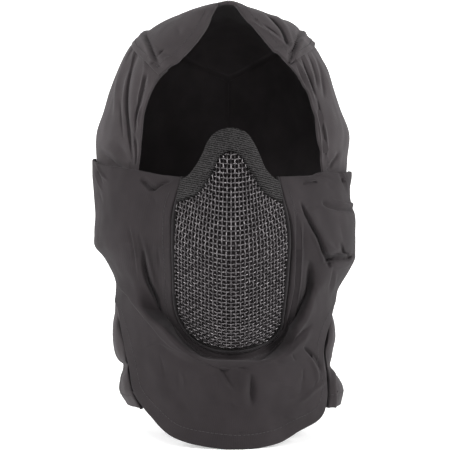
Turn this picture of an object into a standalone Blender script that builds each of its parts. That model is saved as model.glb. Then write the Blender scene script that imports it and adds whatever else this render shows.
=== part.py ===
"""Mesh mask balaclava: a cloth hood with an open face, worn under a cloth face wrap that
carries a woven wire mesh over nose, mouth and chin. Metres, +Z up, the face looks to -Y.
The origin is the inside of the crown, where the top of the head seats."""

import math

import bmesh
import bpy
import numpy as np
from mathutils import Vector

# Cloth
CLOTH_WALL = 0.0015
FIT_GAP = 0.0003
SEAM_GAP = 0.0006

# Hood, on its outer face
HOOD_HALF_WIDTH = 0.093
HOOD_FRONT = 0.086
HOOD_BACK = 0.107
HOOD_DROP = 0.280
FACE_HALF_WIDTH = 0.0617
PEAK_DROP = 0.0052
SEAM_DROP = 0.055
SEAM_LAP = 0.0080
SEAM_RISE = 0.0030
SEAM_TUCK = 0.0045
GATHER_DEPTH = 0.0018

# Face wrap, on its outer face
WRAP_TOP_DROP = 0.1075
WRAP_DROP = 0.1925
WRAP_FORWARD = 0.042
WRAP_HOLLOW = 0.11
COWL_RISE = 0.0050
COWL_GROOVE = 0.0055
COWL_FOLD = 0.0050
SOFT_FOLD_RISE = 0.0045
SOFT_FOLD_SIZE = 0.020
NECK_BAND_BACK_DROP = 0.118
NECK_BAND_BACK_HEIGHT = 0.064

# Mesh mask
MASK_HALF_WIDTH = 0.036
MASK_TOP_DROP = 0.1064
MASK_HEIGHT = 0.1290
MASK_FORWARD = 0.0435
MASK_SAG = 0.0255
MASK_BOW = 2.2
MASK_SIDE_SHIFT = 0.0013
MESH_BAR = 0.0014
BINDING_RADIUS = 0.0012
BINDING_GAP = 0.0007
PAD_THICKNESS = 0.0040
PAD_CROWN = 0.0010

# Facets
HOOD_COLUMNS = 17
CROWN_CAP_ROWS = 4
CROWN_ROWS = 5
SIDE_ROWS = 16
WRAP_STATIONS = 58
BAND_COLUMNS = 24
BAND_ROWS = 5
MESH_COLUMNS = 9
PAD_COLUMNS = 3
BINDING_POINTS = 40
EDGE_POINTS = 401

LEFT = -1
RIGHT = 1


def table(columns, rows):
    """Columns by name, each as an array."""
    return {name: np.array([row[i] for row in rows], float) for i, name in enumerate(columns.split())}


# Hood sections from the crown down: drop as a share of HOOD_DROP, left and right of
# HOOD_HALF_WIDTH, front of HOOD_FRONT, back and middle (where it is widest) of HOOD_BACK
HOOD = table(
    "drop left right front back middle",
    [
        (0.000, 0.00, 0.00, -0.23, 0.19, 0.19),
        (0.006, 0.08, 0.08, 0.35, 0.34, 0.15),
        (0.016, 0.15, 0.13, 0.72, 0.47, 0.12),
        (0.031, 0.35, 0.28, 0.84, 0.60, 0.08),
        (0.052, 0.51, 0.45, 0.87, 0.70, 0.04),
        (0.077, 0.63, 0.56, 0.90, 0.79, 0.00),
        (0.104, 0.725, 0.64, 0.93, 0.85, 0.00),
        (0.142, 0.795, 0.71, 0.97, 0.90, 0.00),
        (0.182, 0.85, 0.75, 0.99, 0.945, 0.00),
        (0.217, 0.89, 0.79, 1.00, 0.97, 0.00),
        (0.270, 0.94, 0.85, 1.00, 0.99, 0.00),
        (0.325, 0.995, 0.91, 0.97, 1.00, 0.00),
        (0.385, 1.00, 0.90, 0.95, 0.985, 0.00),
        (0.430, 0.985, 0.89, 0.94, 0.965, 0.00),
        (0.500, 0.955, 0.87, 0.93, 0.92, 0.00),
        (0.577, 0.95, 0.86, 0.93, 0.86, 0.00),
        (0.640, 0.865, 0.825, 0.93, 0.79, 0.00),
        (0.693, 0.795, 0.76, 0.93, 0.74, 0.00),
        (0.733, 0.845, 0.76, 0.93, 0.70, 0.00),
        (0.783, 0.86, 0.775, 0.93, 0.68, 0.00),
        (0.834, 0.87, 0.807, 0.93, 0.68, 0.00),
        (0.877, 0.855, 0.765, 0.93, 0.70, 0.00),
        (0.914, 0.80, 0.775, 0.93, 0.71, 0.00),
        (0.955, 0.825, 0.78, 0.93, 0.74, 0.00),
        (1.000, 0.77, 0.765, 0.93, 0.77, 0.00),
    ],
)

# Edge of the face opening: drop as a share of HOOD_DROP, half widths of FACE_HALF_WIDTH
OPENING = table(
    "drop left right",
    [
        (0.0186, 0.00, 0.00),
        (0.0215, 0.10, 0.05),
        (0.028, 0.145, 0.09),
        (0.038, 0.172, 0.12),
        (0.053, 0.20, 0.167),
        (0.070, 0.23, 0.235),
        (0.089, 0.275, 0.32),
        (0.113, 0.352, 0.41),
        (0.137, 0.447, 0.50),
        (0.165, 0.57, 0.635),
        (0.196, 0.745, 0.765),
        (0.233, 0.855, 0.87),
        (0.280, 0.935, 0.94),
        (0.340, 0.97, 0.985),
        (0.412, 1.005, 1.035),
        (0.577, 1.00, 1.03),
        (0.791, 0.92, 0.95),
        (1.000, 0.85, 0.85),
    ],
)

# Seam between crown and sides, from the face (0) round to the back (1): shares of SEAM_DROP
SEAM = table(
    "around left right",
    [
        (0.00, 0.85, 0.70),
        (0.20, 0.58, 0.52),
        (0.42, 0.36, 0.36),
        (0.60, 0.37, 0.37),
        (0.80, 0.52, 0.52),
        (1.00, 0.80, 0.80),
    ],
)

# Gathers under the seam: place round the side, height as a share of GATHER_DEPTH, width round
# the side. They fan out and fade at these shares of the way down.
GATHER_FULL = 0.12
GATHER_FADE = 0.15
GATHER_END = 0.37
GATHER_FAN = 0.3
GATHERS = table(
    "around height width",
    [
        (0.06, 0.5, 0.03),
        (0.17, 1.0, 0.035),
        (0.28, -0.6, 0.03),
        (0.38, 0.9, 0.035),
        (0.50, 0.6, 0.04),
    ],
)

# Wrap sections from its top edge down: drop as a share of WRAP_DROP, left and right of
# HOOD_HALF_WIDTH, forward of WRAP_FORWARD
WRAP = table(
    "drop left right forward",
    [
        (0.000, 1.010, 0.905, 0.53),
        (0.060, 1.005, 0.905, 0.60),
        (0.160, 0.990, 0.900, 0.86),
        (0.190, 0.985, 0.925, 0.92),
        (0.275, 0.995, 0.937, 1.00),
        (0.320, 0.990, 0.937, 1.00),
        (0.360, 0.920, 0.930, 1.00),
        (0.400, 0.870, 0.890, 1.00),
        (0.435, 0.835, 0.850, 0.98),
        (0.480, 0.835, 0.800, 0.93),
        (0.520, 0.860, 0.790, 0.88),
        (0.580, 0.885, 0.805, 0.72),
        (0.670, 0.895, 0.830, 0.50),
        (0.750, 0.885, 0.825, 0.40),
        (0.850, 0.870, 0.815, 0.35),
        (1.000, 0.860, 0.810, 0.43),
    ],
)

# Outline of the wrap's front against its U edge: along the U from top left to top right,
# turn from the middle of the front (0) to the ear (1), drop as a share of WRAP_DROP
OUTLINE = table(
    "along turn drop",
    [
        (0.000, -1.00, 0.004),
        (0.065, -1.00, 0.082),
        (0.130, -1.00, 0.200),
        (0.190, -1.00, 0.286),
        (0.240, -1.00, 0.340),
        (0.290, -1.00, 0.395),
        (0.335, -1.00, 0.455),
        (0.358, -0.88, 0.495),
        (0.378, -0.73, 0.540),
        (0.402, -0.645, 0.631),
        (0.432, -0.587, 0.758),
        (0.450, -0.55, 0.835),
        (0.466, -0.44, 0.905),
        (0.482, -0.29, 0.970),
        (0.500, 0.00, 1.000),
        (0.522, 0.26, 0.990),
        (0.545, 0.42, 0.953),
        (0.572, 0.60, 0.916),
        (0.605, 0.66, 0.850),
        (0.650, 0.61, 0.735),
        (0.690, 0.62, 0.650),
        (0.720, 0.74, 0.570),
        (0.755, 1.00, 0.480),
        (0.800, 1.00, 0.410),
        (0.850, 1.00, 0.335),
        (0.900, 1.00, 0.240),
        (0.950, 1.00, 0.150),
        (1.000, 1.00, 0.050),
    ],
)

# Cowl fold along the U: place of its crest as a share of the way out, and of the groove
# inside it as a share of the way to the crest; then how much of COWL_RISE shows at the
# crest and of COWL_GROOVE in the groove and in the hollow under the crest. The cloth lies on
# the mask's surface as far as hold and has left it at free, both shares of the way out.
COWL = table(
    "along crest_at crest groove_at groove under hold free",
    [
        (0.00, 0.40, 0.0, 0.50, 0.0, 0.0, 0.00, 0.45),
        (0.12, 0.55, 0.0, 0.38, 0.0, 0.0, 0.00, 0.45),
        (0.20, 0.66, 0.2, 0.29, 0.5, 0.0, 0.04, 0.45),
        (0.26, 0.85, 0.5, 0.22, 0.9, 0.1, 0.09, 0.45),
        (0.30, 0.76, 0.7, 0.19, 1.0, 0.3, 0.09, 0.40),
        (0.32, 0.50, 0.8, 0.18, 1.0, 0.5, 0.09, 0.37),
        (0.34, 0.35, 0.9, 0.18, 1.0, 0.6, 0.09, 0.33),
        (0.38, 0.23, 1.0, 0.26, 0.7, 0.6, 0.07, 0.26),
        (0.42, 0.155, 0.9, 0.30, 0.4, 0.5, 0.05, 0.20),
        (0.46, 0.105, 0.7, 0.40, 0.1, 0.4, 0.04, 0.155),
        (0.50, 0.085, 0.6, 0.50, 0.0, 0.4, 0.035, 0.14),
        (0.56, 0.092, 0.6, 0.50, 0.0, 0.5, 0.035, 0.15),
        (0.62, 0.095, 0.7, 0.50, 0.0, 0.7, 0.05, 0.20),
        (0.66, 0.136, 0.9, 0.50, 0.0, 0.8, 0.10, 0.30),
        (0.70, 0.20, 0.8, 0.50, 0.0, 0.8, 0.20, 0.46),
        (0.74, 0.14, 0.7, 0.50, 0.0, 0.7, 0.14, 0.42),
        (0.78, 0.10, 0.5, 0.50, 0.0, 0.6, 0.10, 0.42),
        (0.85, 0.09, 0.3, 0.50, 0.0, 0.1, 0.04, 0.45),
        (1.00, 0.09, 0.0, 0.50, 0.0, 0.0, 0.00, 0.45),
    ],
)

# Pouch fold beside the mouth and the dent in the bib: across as a share of HOOD_HALF_WIDTH, drop
# of WRAP_DROP, rise of SOFT_FOLD_RISE, size of SOFT_FOLD_SIZE, and how much narrower than tall
SOFT_FOLDS = table(
    "across drop rise size narrow",
    [
        (0.80, 0.28, 0.78, 1.00, 1.0),
        (0.15, 0.79, -1.00, 0.42, 1.6),
    ],
)

# Stations along the U, closer together where the bib turns: count share, place along
STATIONS = table(
    "count along",
    [
        (0.00, 0.00),
        (0.30, 0.35),
        (0.45, 0.46),
        (0.55, 0.53),
        (0.72, 0.66),
        (1.00, 1.00),
    ],
)

# Rows of facets outward over the wrap: 0 is the U edge, 1 the crest, 2 the outline
WRAP_ROWS = (0.0, 0.13, 0.26, 0.45, 0.70, 0.88, 1.0, 1.04, 1.09, 1.18, 1.32, 1.48, 1.65, 1.82, 2.0)

# Sections of the mask down its middle: drop from its top as a share of MASK_HEIGHT,
# forward of MASK_FORWARD, sag of MASK_SAG
MASK = table(
    "drop forward sag",
    [
        (-0.21, 0.14, 1.10),
        (-0.12, 0.34, 1.10),
        (0.00, 0.62, 1.10),
        (0.11, 0.83, 1.07),
        (0.24, 0.96, 1.03),
        (0.42, 1.00, 1.00),
        (0.50, 1.00, 1.00),
        (0.54, 0.98, 1.00),
        (0.61, 0.89, 1.00),
        (0.70, 0.74, 1.00),
        (0.80, 0.57, 1.00),
        (0.86, 0.46, 1.00),
        (0.92, 0.34, 1.00),
        (1.00, 0.14, 1.00),
        (1.10, -0.12, 1.00),
    ],
)

# Outline of the mesh: drop as a share of MASK_HEIGHT, half widths of MASK_HALF_WIDTH
MESH = table(
    "drop left right",
    [
        (0.000, 0.00, 0.00),
        (0.022, 0.17, 0.15),
        (0.081, 0.27, 0.28),
        (0.127, 0.36, 0.387),
        (0.183, 0.486, 0.50),
        (0.221, 0.63, 0.65),
        (0.241, 0.81, 0.77),
        (0.257, 0.97, 0.92),
        (0.316, 1.00, 0.97),
        (0.412, 1.00, 1.00),
        (0.579, 1.00, 0.99),
        (0.699, 0.995, 0.962),
        (0.769, 0.985, 0.936),
        (0.843, 0.93, 0.91),
        (0.897, 0.83, 0.88),
        (0.948, 0.67, 0.74),
        (0.981, 0.46, 0.50),
        (1.000, 0.00, 0.00),
    ],
)

# Side of the mask beside the nose pad, above the mesh's own side
MASK_SIDE = table(
    "drop left right",
    [
        (0.127, 0.88, 0.836),
        (0.191, 0.926, 0.88),
        (0.257, 0.975, 0.935),
    ],
)

# Rows of the coarse lattice at its sides, shares of MASK_HEIGHT; the pad ends at one of them
LATTICE_ROWS = (
    0.044, 0.098, 0.152, 0.206, 0.257, 0.329, 0.402, 0.476, 0.549, 0.623, 0.696, 0.770, 0.843, 0.915
)
LATTICE_TOP_MIDDLE = 0.012
LATTICE_BOTTOM_MIDDLE = 0.995
PAD_ROWS = 5

# Outer edge of the nose pad from its left foot over the nose to its right foot: across as a
# share of MASK_HALF_WIDTH, drop of MASK_HEIGHT
PAD_EDGE = table(
    "across drop",
    [
        (-0.89, 0.134),
        (-0.81, 0.126),
        (-0.70, 0.104),
        (-0.594, 0.063),
        (-0.493, 0.010),
        (-0.414, -0.044),
        (-0.306, -0.089),
        (-0.02, -0.120),
        (0.27, -0.095),
        (0.387, -0.049),
        (0.495, 0.017),
        (0.594, 0.083),
        (0.70, 0.119),
        (0.79, 0.137),
        (0.854, 0.144),
    ],
)


def smooth(at, places, values):
    """Smooth curve through (places, values), level beyond its ends."""
    at = np.clip(at, places[0], places[-1])
    slopes = np.gradient(values, places)
    i = np.clip(np.searchsorted(places, at, side="right") - 1, 0, len(places) - 2)
    step = places[i + 1] - places[i]
    t = (at - places[i]) / step
    a = (1 + 2 * t) * (1 - t) ** 2 * values[i] + t * t * (3 - 2 * t) * values[i + 1]
    b = t * (1 - t) ** 2 * slopes[i] - t * t * (1 - t) * slopes[i + 1]
    return a + b * step


def read(rows, column, at, key="drop"):
    return smooth(np.asarray(at, float), rows[key], rows[column])


def side_name(side):
    return "left" if side < 0 else "right"


def ramp(x):
    """0 to 1 with level ends."""
    x = np.clip(x, 0, 1)
    return x * x * (3 - 2 * x)


def bump(x, width):
    return np.exp(-((x / width) ** 2))


def normals(grid, centre):
    """Unit normals of a grid of points, pointing away from centre."""
    along = np.gradient(grid, axis=0)
    across = np.gradient(grid, axis=1)
    n = np.cross(along, across)
    n /= np.maximum(np.linalg.norm(n, axis=2, keepdims=True), 1e-12)
    away = np.sum(n * (grid - np.array(centre)), axis=2).sum()
    return n if away > 0 else -n


# Surfaces


def hood_points(side, turn, share):
    """Outer face of the hood: turn 0 is the front, pi the back."""
    width = HOOD_HALF_WIDTH * read(HOOD, side_name(side), share)
    middle = HOOD_BACK * read(HOOD, "middle", share)
    front = HOOD_FRONT * read(HOOD, "front", share) + middle
    back = HOOD_BACK * read(HOOD, "back", share) - middle
    reach = np.where(turn < math.pi / 2, front, back)
    x = side * width * np.sin(turn)
    y = middle - reach * np.cos(turn)
    z = CLOTH_WALL - HOOD_DROP * share + 0 * turn
    return np.stack([x, y, z], axis=-1)


def opening_turn(side, share):
    width = HOOD_HALF_WIDTH * read(HOOD, side_name(side), share)
    half = FACE_HALF_WIDTH * read(OPENING, side_name(side), share)
    return np.arcsin(np.clip(half / np.maximum(width, 1e-6), 0, 1))


def seam_share(side, around):
    return (SEAM_DROP / HOOD_DROP) * read(SEAM, side_name(side), around, "around")


def hood_grid(side, around, share):
    """Points of the hood for arrays of place round the side (0 face, 1 back) and drop."""
    edge = opening_turn(side, share)
    end = math.pi - SEAM_GAP / 2 / HOOD_HALF_WIDTH
    return hood_points(side, edge + (end - edge) * around, share)


def wrap_half_width(side, drop):
    name = side_name(side)
    share = read(WRAP, name, (drop - WRAP_TOP_DROP) / WRAP_DROP)
    return HOOD_HALF_WIDTH * share + CLOTH_WALL + FIT_GAP


def wrap_depth(drop):
    share = read(WRAP, "forward", (drop - WRAP_TOP_DROP) / WRAP_DROP)
    return HOOD_FRONT + WRAP_FORWARD * share


def wrap_points(turn, drop):
    """Outer face of the wrap's front: turn from -pi/2 at the left ear to pi/2 at the right."""
    width = np.where(turn < 0, wrap_half_width(LEFT, drop), wrap_half_width(RIGHT, drop))
    x = width * np.sin(turn)
    y = -wrap_depth(drop) * np.cos(turn) * (1 - WRAP_HOLLOW * np.sin(2 * turn) ** 2)
    return np.stack([x, y, -drop + 0 * turn], axis=-1)


def bow(x):
    """How far the mask has bent back at a place across it, as a share of the bend at its side."""
    return np.log(np.cosh(MASK_BOW * x / MASK_HALF_WIDTH)) / math.log(math.cosh(MASK_BOW))


def mask_points(x, drop):
    """Mask surface where the front view shows x (from the mask's middle) at this drop."""
    spine = np.asarray(drop, float)
    for _ in range(6):
        share = (spine - MASK_TOP_DROP) / MASK_HEIGHT
        step = 0.01
        ahead = read(MASK, "forward", share + step) - read(MASK, "forward", share - step)
        slope = -MASK_FORWARD * ahead / (2 * step * MASK_HEIGHT)
        sag = MASK_SAG * read(MASK, "sag", share) * bow(x)
        length = np.sqrt(1 + slope**2)
        spine = drop + sag * slope / length
    share = (spine - MASK_TOP_DROP) / MASK_HEIGHT
    y = -(HOOD_FRONT + MASK_FORWARD * read(MASK, "forward", share)) + sag / length
    return np.stack([x + MASK_SIDE_SHIFT, y, -drop + 0 * x], axis=-1)


def mask_drop(share):
    return MASK_TOP_DROP + MASK_HEIGHT * share


def path(points, count):
    """A smooth path through points, as count points evenly spaced along it."""
    points = np.array(points, float)
    for _ in range(2):
        length = np.concatenate([[0], np.cumsum(np.linalg.norm(np.diff(points, axis=0), axis=1))])
        at = np.linspace(0, length[-1], max(count, 8 * len(points)))
        points = np.stack([smooth(at, length, points[:, i]) for i in range(points.shape[1])], axis=1)
    length = np.concatenate([[0], np.cumsum(np.linalg.norm(np.diff(points, axis=0), axis=1))])
    at = np.linspace(0, length[-1], count)
    return np.stack([np.interp(at, length, points[:, i]) for i in range(points.shape[1])], axis=1)


def mask_edge(offset, count):
    """The mask's U edge as x and drop in the front view, moved outward over the mask by offset."""
    left = [(-MASK_HALF_WIDTH * s, d) for d, s in zip(MASK_SIDE["drop"], MASK_SIDE["left"])]
    right = [(MASK_HALF_WIDTH * s, d) for d, s in zip(MASK_SIDE["drop"], MASK_SIDE["right"])]
    below = MESH["drop"] > MASK_SIDE["drop"][-1]
    rows = list(zip(MESH["drop"][below], MESH["left"][below], MESH["right"][below]))
    left += [(-MASK_HALF_WIDTH * a, d) for d, a, _ in rows]
    right += [(MASK_HALF_WIDTH * b, d) for d, _, b in rows[:-1]]
    points = [(x, mask_drop(d)) for x, d in left + right[::-1]]
    line = path(points, EDGE_POINTS)
    tangent = np.gradient(line, axis=0)
    tangent /= np.linalg.norm(tangent, axis=1, keepdims=True)
    out = offset * np.stack([-tangent[:, 1], tangent[:, 0]], axis=1)
    moved = mask_points(*(line + out).T) - mask_points(*line.T)
    return path(line + out * offset / np.linalg.norm(moved, axis=1)[:, None], count)


def wrap_grid(along, rows):
    """Points of the wrap's front for station shares along and facet rows outward."""
    edge = mask_edge(MESH_BAR / 2 + 2 * BINDING_GAP + 2 * BINDING_RADIUS, EDGE_POINTS)
    places = np.linspace(0, 1, len(edge))
    inner_x = np.interp(along, places, edge[:, 0])
    inner_drop = np.interp(along, places, edge[:, 1])
    inner = mask_points(inner_x, inner_drop)
    side = np.where(inner[:, 0] < 0, wrap_half_width(LEFT, inner_drop), wrap_half_width(RIGHT, inner_drop))
    inner_turn = np.arcsin(inner[:, 0] / side)
    outer_turn = np.clip(read(OUTLINE, "turn", along, "along"), -1, 1) * math.pi / 2
    outer_drop = WRAP_TOP_DROP + WRAP_DROP * read(OUTLINE, "drop", along, "along")
    crest = read(COWL, "crest_at", along, "along")[:, None]
    rows = np.asarray(rows, float)[None, :]
    t = np.where(rows < 1, rows * crest, crest + (1 - crest) * (rows - 1))
    turn = inner_turn[:, None] * (1 - t) + outer_turn[:, None] * t
    drop = inner_drop[:, None] * (1 - t) + outer_drop[:, None] * t
    grid = wrap_points(turn, drop)
    off = inner[:, 1] - wrap_points(inner_turn, inner_drop)[:, 1]
    hold = read(COWL, "hold", along, "along")[:, None]
    free = read(COWL, "free", along, "along")[:, None]
    grid[..., 1] += off[:, None] * (1 - ramp((t - hold) / (free - hold)))
    return grid, t


def wrap_lift(along, grid, t):
    """How far the folds stand off the plain wrap."""
    step = np.linalg.norm(np.diff(grid, axis=1), axis=2)
    out = np.concatenate([np.zeros((len(grid), 1)), np.cumsum(step, axis=1)], axis=1)
    crest_at = read(COWL, "crest_at", along, "along")
    groove_at = crest_at * read(COWL, "groove_at", along, "along")
    crest_out = np.array([np.interp(c, a, b) for c, a, b in zip(crest_at, t, out)])[:, None]
    groove_out = np.array([np.interp(c, a, b) for c, a, b in zip(groove_at, t, out)])[:, None]
    crest = COWL_RISE * read(COWL, "crest", along, "along")[:, None]
    groove = COWL_GROOVE * read(COWL, "groove", along, "along")[:, None]
    under = COWL_GROOVE * read(COWL, "under", along, "along")[:, None]
    past = out - crest_out
    fold = np.where(past < 0, COWL_FOLD, COWL_FOLD / 2)
    lift = crest * bump(past, fold) - groove * bump(out - groove_out, COWL_FOLD)
    lift = lift - under * bump(past - COWL_FOLD, COWL_FOLD)
    for across, drop, rise, size, narrow in zip(*SOFT_FOLDS.values()):
        beside = grid[..., 0] - across * HOOD_HALF_WIDTH
        above = grid[..., 2] + WRAP_TOP_DROP + drop * WRAP_DROP
        lift = lift + SOFT_FOLD_RISE * rise * bump(np.hypot(beside * narrow, above), SOFT_FOLD_SIZE * size)
    return lift


# Building blocks


def collection(name):
    made = bpy.data.collections.new(name)
    bpy.context.scene.collection.children.link(made)
    return made


def material(name, color, roughness, metallic=0.0):
    made = bpy.data.materials.new(name)
    made.use_nodes = True
    shader = made.node_tree.nodes["Principled BSDF"]
    shader.inputs["Base Color"].default_value = (*color, 1)
    shader.inputs["Roughness"].default_value = roughness
    shader.inputs["Metallic"].default_value = metallic
    return made


def grid_object(name, grid, finish, parts):
    """An open surface of quads through a grid of points, with doubled points joined."""
    columns, rows = grid.shape[:2]
    bm = bmesh.new()
    points = [[bm.verts.new(p) for p in line] for line in grid]
    for i in range(columns - 1):
        for j in range(rows - 1):
            bm.faces.new((points[i][j], points[i + 1][j], points[i + 1][j + 1], points[i][j + 1]))
    bmesh.ops.remove_doubles(bm, verts=bm.verts, dist=1e-5)
    bmesh.ops.recalc_face_normals(bm, faces=bm.faces)
    mesh = bpy.data.meshes.new(name)
    bm.to_mesh(mesh)
    bm.free()
    mesh.shade_smooth()
    made = bpy.data.objects.new(name, mesh)
    made.data.materials.append(finish)
    parts.objects.link(made)
    return made


def face_outward(made, centre):
    """Turn all faces of an open surface so that they point away from centre."""
    mesh = made.data
    away = sum(f.area * f.normal.dot(f.center - centre) for f in mesh.polygons)
    if away < 0:
        mesh.flip_normals()


def thicken(made, thickness, offset):
    wall = made.modifiers.new("Wall", "SOLIDIFY")
    wall.thickness = thickness
    wall.offset = offset
    return made


def cloth(name, grid, centre, finish, parts):
    """A cloth wall whose outer face is the grid."""
    made = grid_object(name, grid, finish, parts)
    face_outward(made, centre)
    return thicken(made, CLOTH_WALL, -1)


# Pieces


def crown_grid():
    """Closed rings down to the peak, then rings open at the face, then the lap over the seam."""
    around = np.linspace(0, 1, HOOD_COLUMNS + 1)
    halves = []
    for side in (LEFT, RIGHT):
        seam = seam_share(side, around)
        peak = PEAK_DROP / HOOD_DROP
        cap = [peak * (k / CROWN_CAP_ROWS) ** 2 + 0 * seam for k in range(CROWN_CAP_ROWS + 1)]
        body = [peak + (seam - peak) * k / CROWN_ROWS for k in range(1, CROWN_ROWS + 1)]
        lap = [seam + SEAM_RISE / HOOD_DROP, seam + SEAM_LAP / HOOD_DROP]
        share = np.stack(cap + body + lap, axis=1)
        edge = opening_turn(side, share) * (share > peak + 1e-9)
        turn = edge + (math.pi - edge) * around[:, None]
        grid = hood_points(side, turn, share)
        halves.append(grid if side == LEFT else grid[::-1])
    grid = np.concatenate([halves[0], halves[1][1:]], axis=0)
    lift = np.zeros(grid.shape[:2])
    lift[:, -2:] = CLOTH_WALL + SEAM_GAP
    return grid + normals(grid, CENTRE) * lift[..., None]


def make_crown_panel(finish, parts):
    return cloth("crown_panel", crown_grid(), CENTRE, finish, parts)


def side_grid(side):
    around = np.linspace(0, 1, HOOD_COLUMNS + 1)[:, None]
    down = np.linspace(0, 1, SIDE_ROWS + 1)[None, :]
    top = seam_share(side, around) + SEAM_TUCK / HOOD_DROP
    share = top + (1 - top) * down
    grid = hood_grid(side, around, share)
    lift = 0
    for place, height, width in zip(*GATHERS.values()):
        lift = lift + height * bump(around - place * (1 + GATHER_FAN * down), width * (1 + down))
    fade = 1 - ramp((down - GATHER_FADE) / (GATHER_END - GATHER_FADE))
    lift = GATHER_DEPTH * lift * ramp(down / GATHER_FULL) * fade
    return grid + normals(grid, CENTRE) * lift[..., None]


def make_side_panel(side, finish, parts):
    return cloth("side_panel_" + side_name(side), side_grid(side), CENTRE, finish, parts)


def make_face_wrap(finish, parts):
    along = read(STATIONS, "along", np.linspace(0, 1, WRAP_STATIONS + 1), "count")
    grid, t = wrap_grid(along, WRAP_ROWS)
    lift = wrap_lift(along, grid, t)
    grid = grid + normals(grid, CENTRE) * lift[..., None]
    return cloth("face_wrap", grid, CENTRE, finish, parts)


def ear_drops(side):
    """Where the wrap's edge at the ear starts and ends, as drops."""
    ear = OUTLINE["drop"][OUTLINE["turn"] == side]
    return WRAP_TOP_DROP + WRAP_DROP * ear.min(), WRAP_TOP_DROP + WRAP_DROP * ear.max()


def make_neck_band(finish, parts):
    """From ear to ear behind the head, close on the hood at the middle of the back."""
    around = np.linspace(-1, 1, BAND_COLUMNS + 1)[:, None]
    down = np.linspace(0, 1, BAND_ROWS + 1)[None, :]
    left_top, left_end = ear_drops(LEFT)
    right_top, right_end = ear_drops(RIGHT)
    back = ramp(1 - np.abs(around))
    top = np.where(around < 0, left_top, right_top) * (1 - back) + NECK_BAND_BACK_DROP * back
    end = np.where(around < 0, left_end, right_end) * (1 - back)
    end = end + (NECK_BAND_BACK_DROP + NECK_BAND_BACK_HEIGHT) * back
    drop = top + (end - top) * down
    share = (CLOTH_WALL + drop) / HOOD_DROP
    turn = math.pi / 2 * (1 - np.abs(around)) + 0 * drop
    width = np.where(around < 0, wrap_half_width(LEFT, drop), wrap_half_width(RIGHT, drop))
    reach = HOOD_BACK * read(HOOD, "back", share) + CLOTH_WALL + SEAM_GAP
    x = np.sign(around + 1e-9) * width * np.cos(turn)
    y = SEAM_GAP + reach * np.sin(turn)
    return cloth("neck_band", np.stack([x, y, -drop], axis=-1), CENTRE, finish, parts)


def lattice_flat():
    """The lattice's crossings in the front view, as arrays of x and drop."""
    across = np.linspace(-1, 1, MESH_COLUMNS + 1)[:, None]
    edge = np.array(LATTICE_ROWS)[None, :]
    down = (edge - LATTICE_ROWS[0]) / (LATTICE_ROWS[-1] - LATTICE_ROWS[0])
    middle = LATTICE_TOP_MIDDLE + (LATTICE_BOTTOM_MIDDLE - LATTICE_TOP_MIDDLE) * down
    left = -read(MESH, "left", edge)
    right = read(MESH, "right", edge)
    x = MASK_HALF_WIDTH * (left + (right - left) * (across + 1) / 2)
    return x, mask_drop(edge + (middle - edge) * (1 - across**2))


def make_mesh_screen(finish, parts):
    """A coarse lattice in place of the fine wire weave."""
    x, drop = lattice_flat()
    made = grid_object("mesh_screen", mask_points(x, drop), finish, parts)
    face_outward(made, CENTRE)
    bars = made.modifiers.new("Bars", "WIREFRAME")
    bars.thickness = MESH_BAR
    bars.offset = 0
    bars.use_even_offset = True
    bars.use_boundary = True
    return made


def make_mesh_binding(finish, parts):
    """A rolled edge round the sides and bottom of the mesh, as one bent tube."""
    edge = mask_edge(MESH_BAR / 2 + BINDING_GAP + BINDING_RADIUS, BINDING_POINTS)
    line = mask_points(edge[:, 0], edge[:, 1])
    curve = bpy.data.curves.new("mesh_binding", "CURVE")
    curve.dimensions = "3D"
    curve.bevel_depth = BINDING_RADIUS
    curve.bevel_resolution = 1
    curve.use_fill_caps = True
    spline = curve.splines.new("POLY")
    spline.points.add(len(line) - 1)
    for point, place in zip(spline.points, line):
        point.co = (*place, 1)
    made = bpy.data.objects.new("mesh_binding", curve)
    curve.materials.append(finish)
    parts.objects.link(made)
    return made


def beside(line, distance):
    """A line of 2-D points moved to its left by a distance, with mitred corners."""
    step = np.diff(line, axis=0)
    step /= np.linalg.norm(step, axis=1, keepdims=True)
    before = np.vstack([step[:1], step])
    after = np.vstack([step, step[-1:]])
    out = np.stack([before[:, 1] + after[:, 1], -before[:, 0] - after[:, 0]], axis=1)
    out /= 1 + np.sum(before * after, axis=1)[:, None]
    return line + out * distance


def make_nose_pad(finish, parts):
    """An arched pad over the nose: its inner edge follows the lattice's upper rim."""
    x, drop = lattice_flat()
    left = np.stack([x[0], drop[0]], axis=1)[PAD_ROWS - 1 : 0 : -1]
    top = np.stack([x[:, 0], drop[:, 0]], axis=1)
    right = np.stack([x[-1], drop[-1]], axis=1)[1:PAD_ROWS]
    rim = np.concatenate([left, top, right])
    inner = beside(rim, MESH_BAR / 2 + FIT_GAP)
    edge = [(MASK_HALF_WIDTH * a, mask_drop(d)) for a, d in zip(PAD_EDGE["across"], PAD_EDGE["drop"])]
    edge = path(edge, EDGE_POINTS)
    length = np.concatenate([[0], np.cumsum(np.linalg.norm(np.diff(rim, axis=0), axis=1))])
    at = length / length[-1] * (len(edge) - 1)
    places = np.arange(len(edge))
    outer = np.stack([np.interp(at, places, edge[:, 0]), np.interp(at, places, edge[:, 1])], axis=1)
    share = np.linspace(0, 1, PAD_COLUMNS + 1)[None, :, None]
    flat = inner[:, None, :] * (1 - share) + outer[:, None, :] * share
    grid = mask_points(flat[..., 0], flat[..., 1])
    lift = PAD_CROWN * (1 - (2 * share[..., 0] - 1) ** 2)
    grid = grid + normals(grid, CENTRE) * lift[..., None]
    made = grid_object("nose_pad", grid, finish, parts)
    face_outward(made, CENTRE)
    return thicken(made, PAD_THICKNESS, 0)


for old in list(bpy.data.objects):
    bpy.data.objects.remove(old, do_unlink=True)

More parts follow.
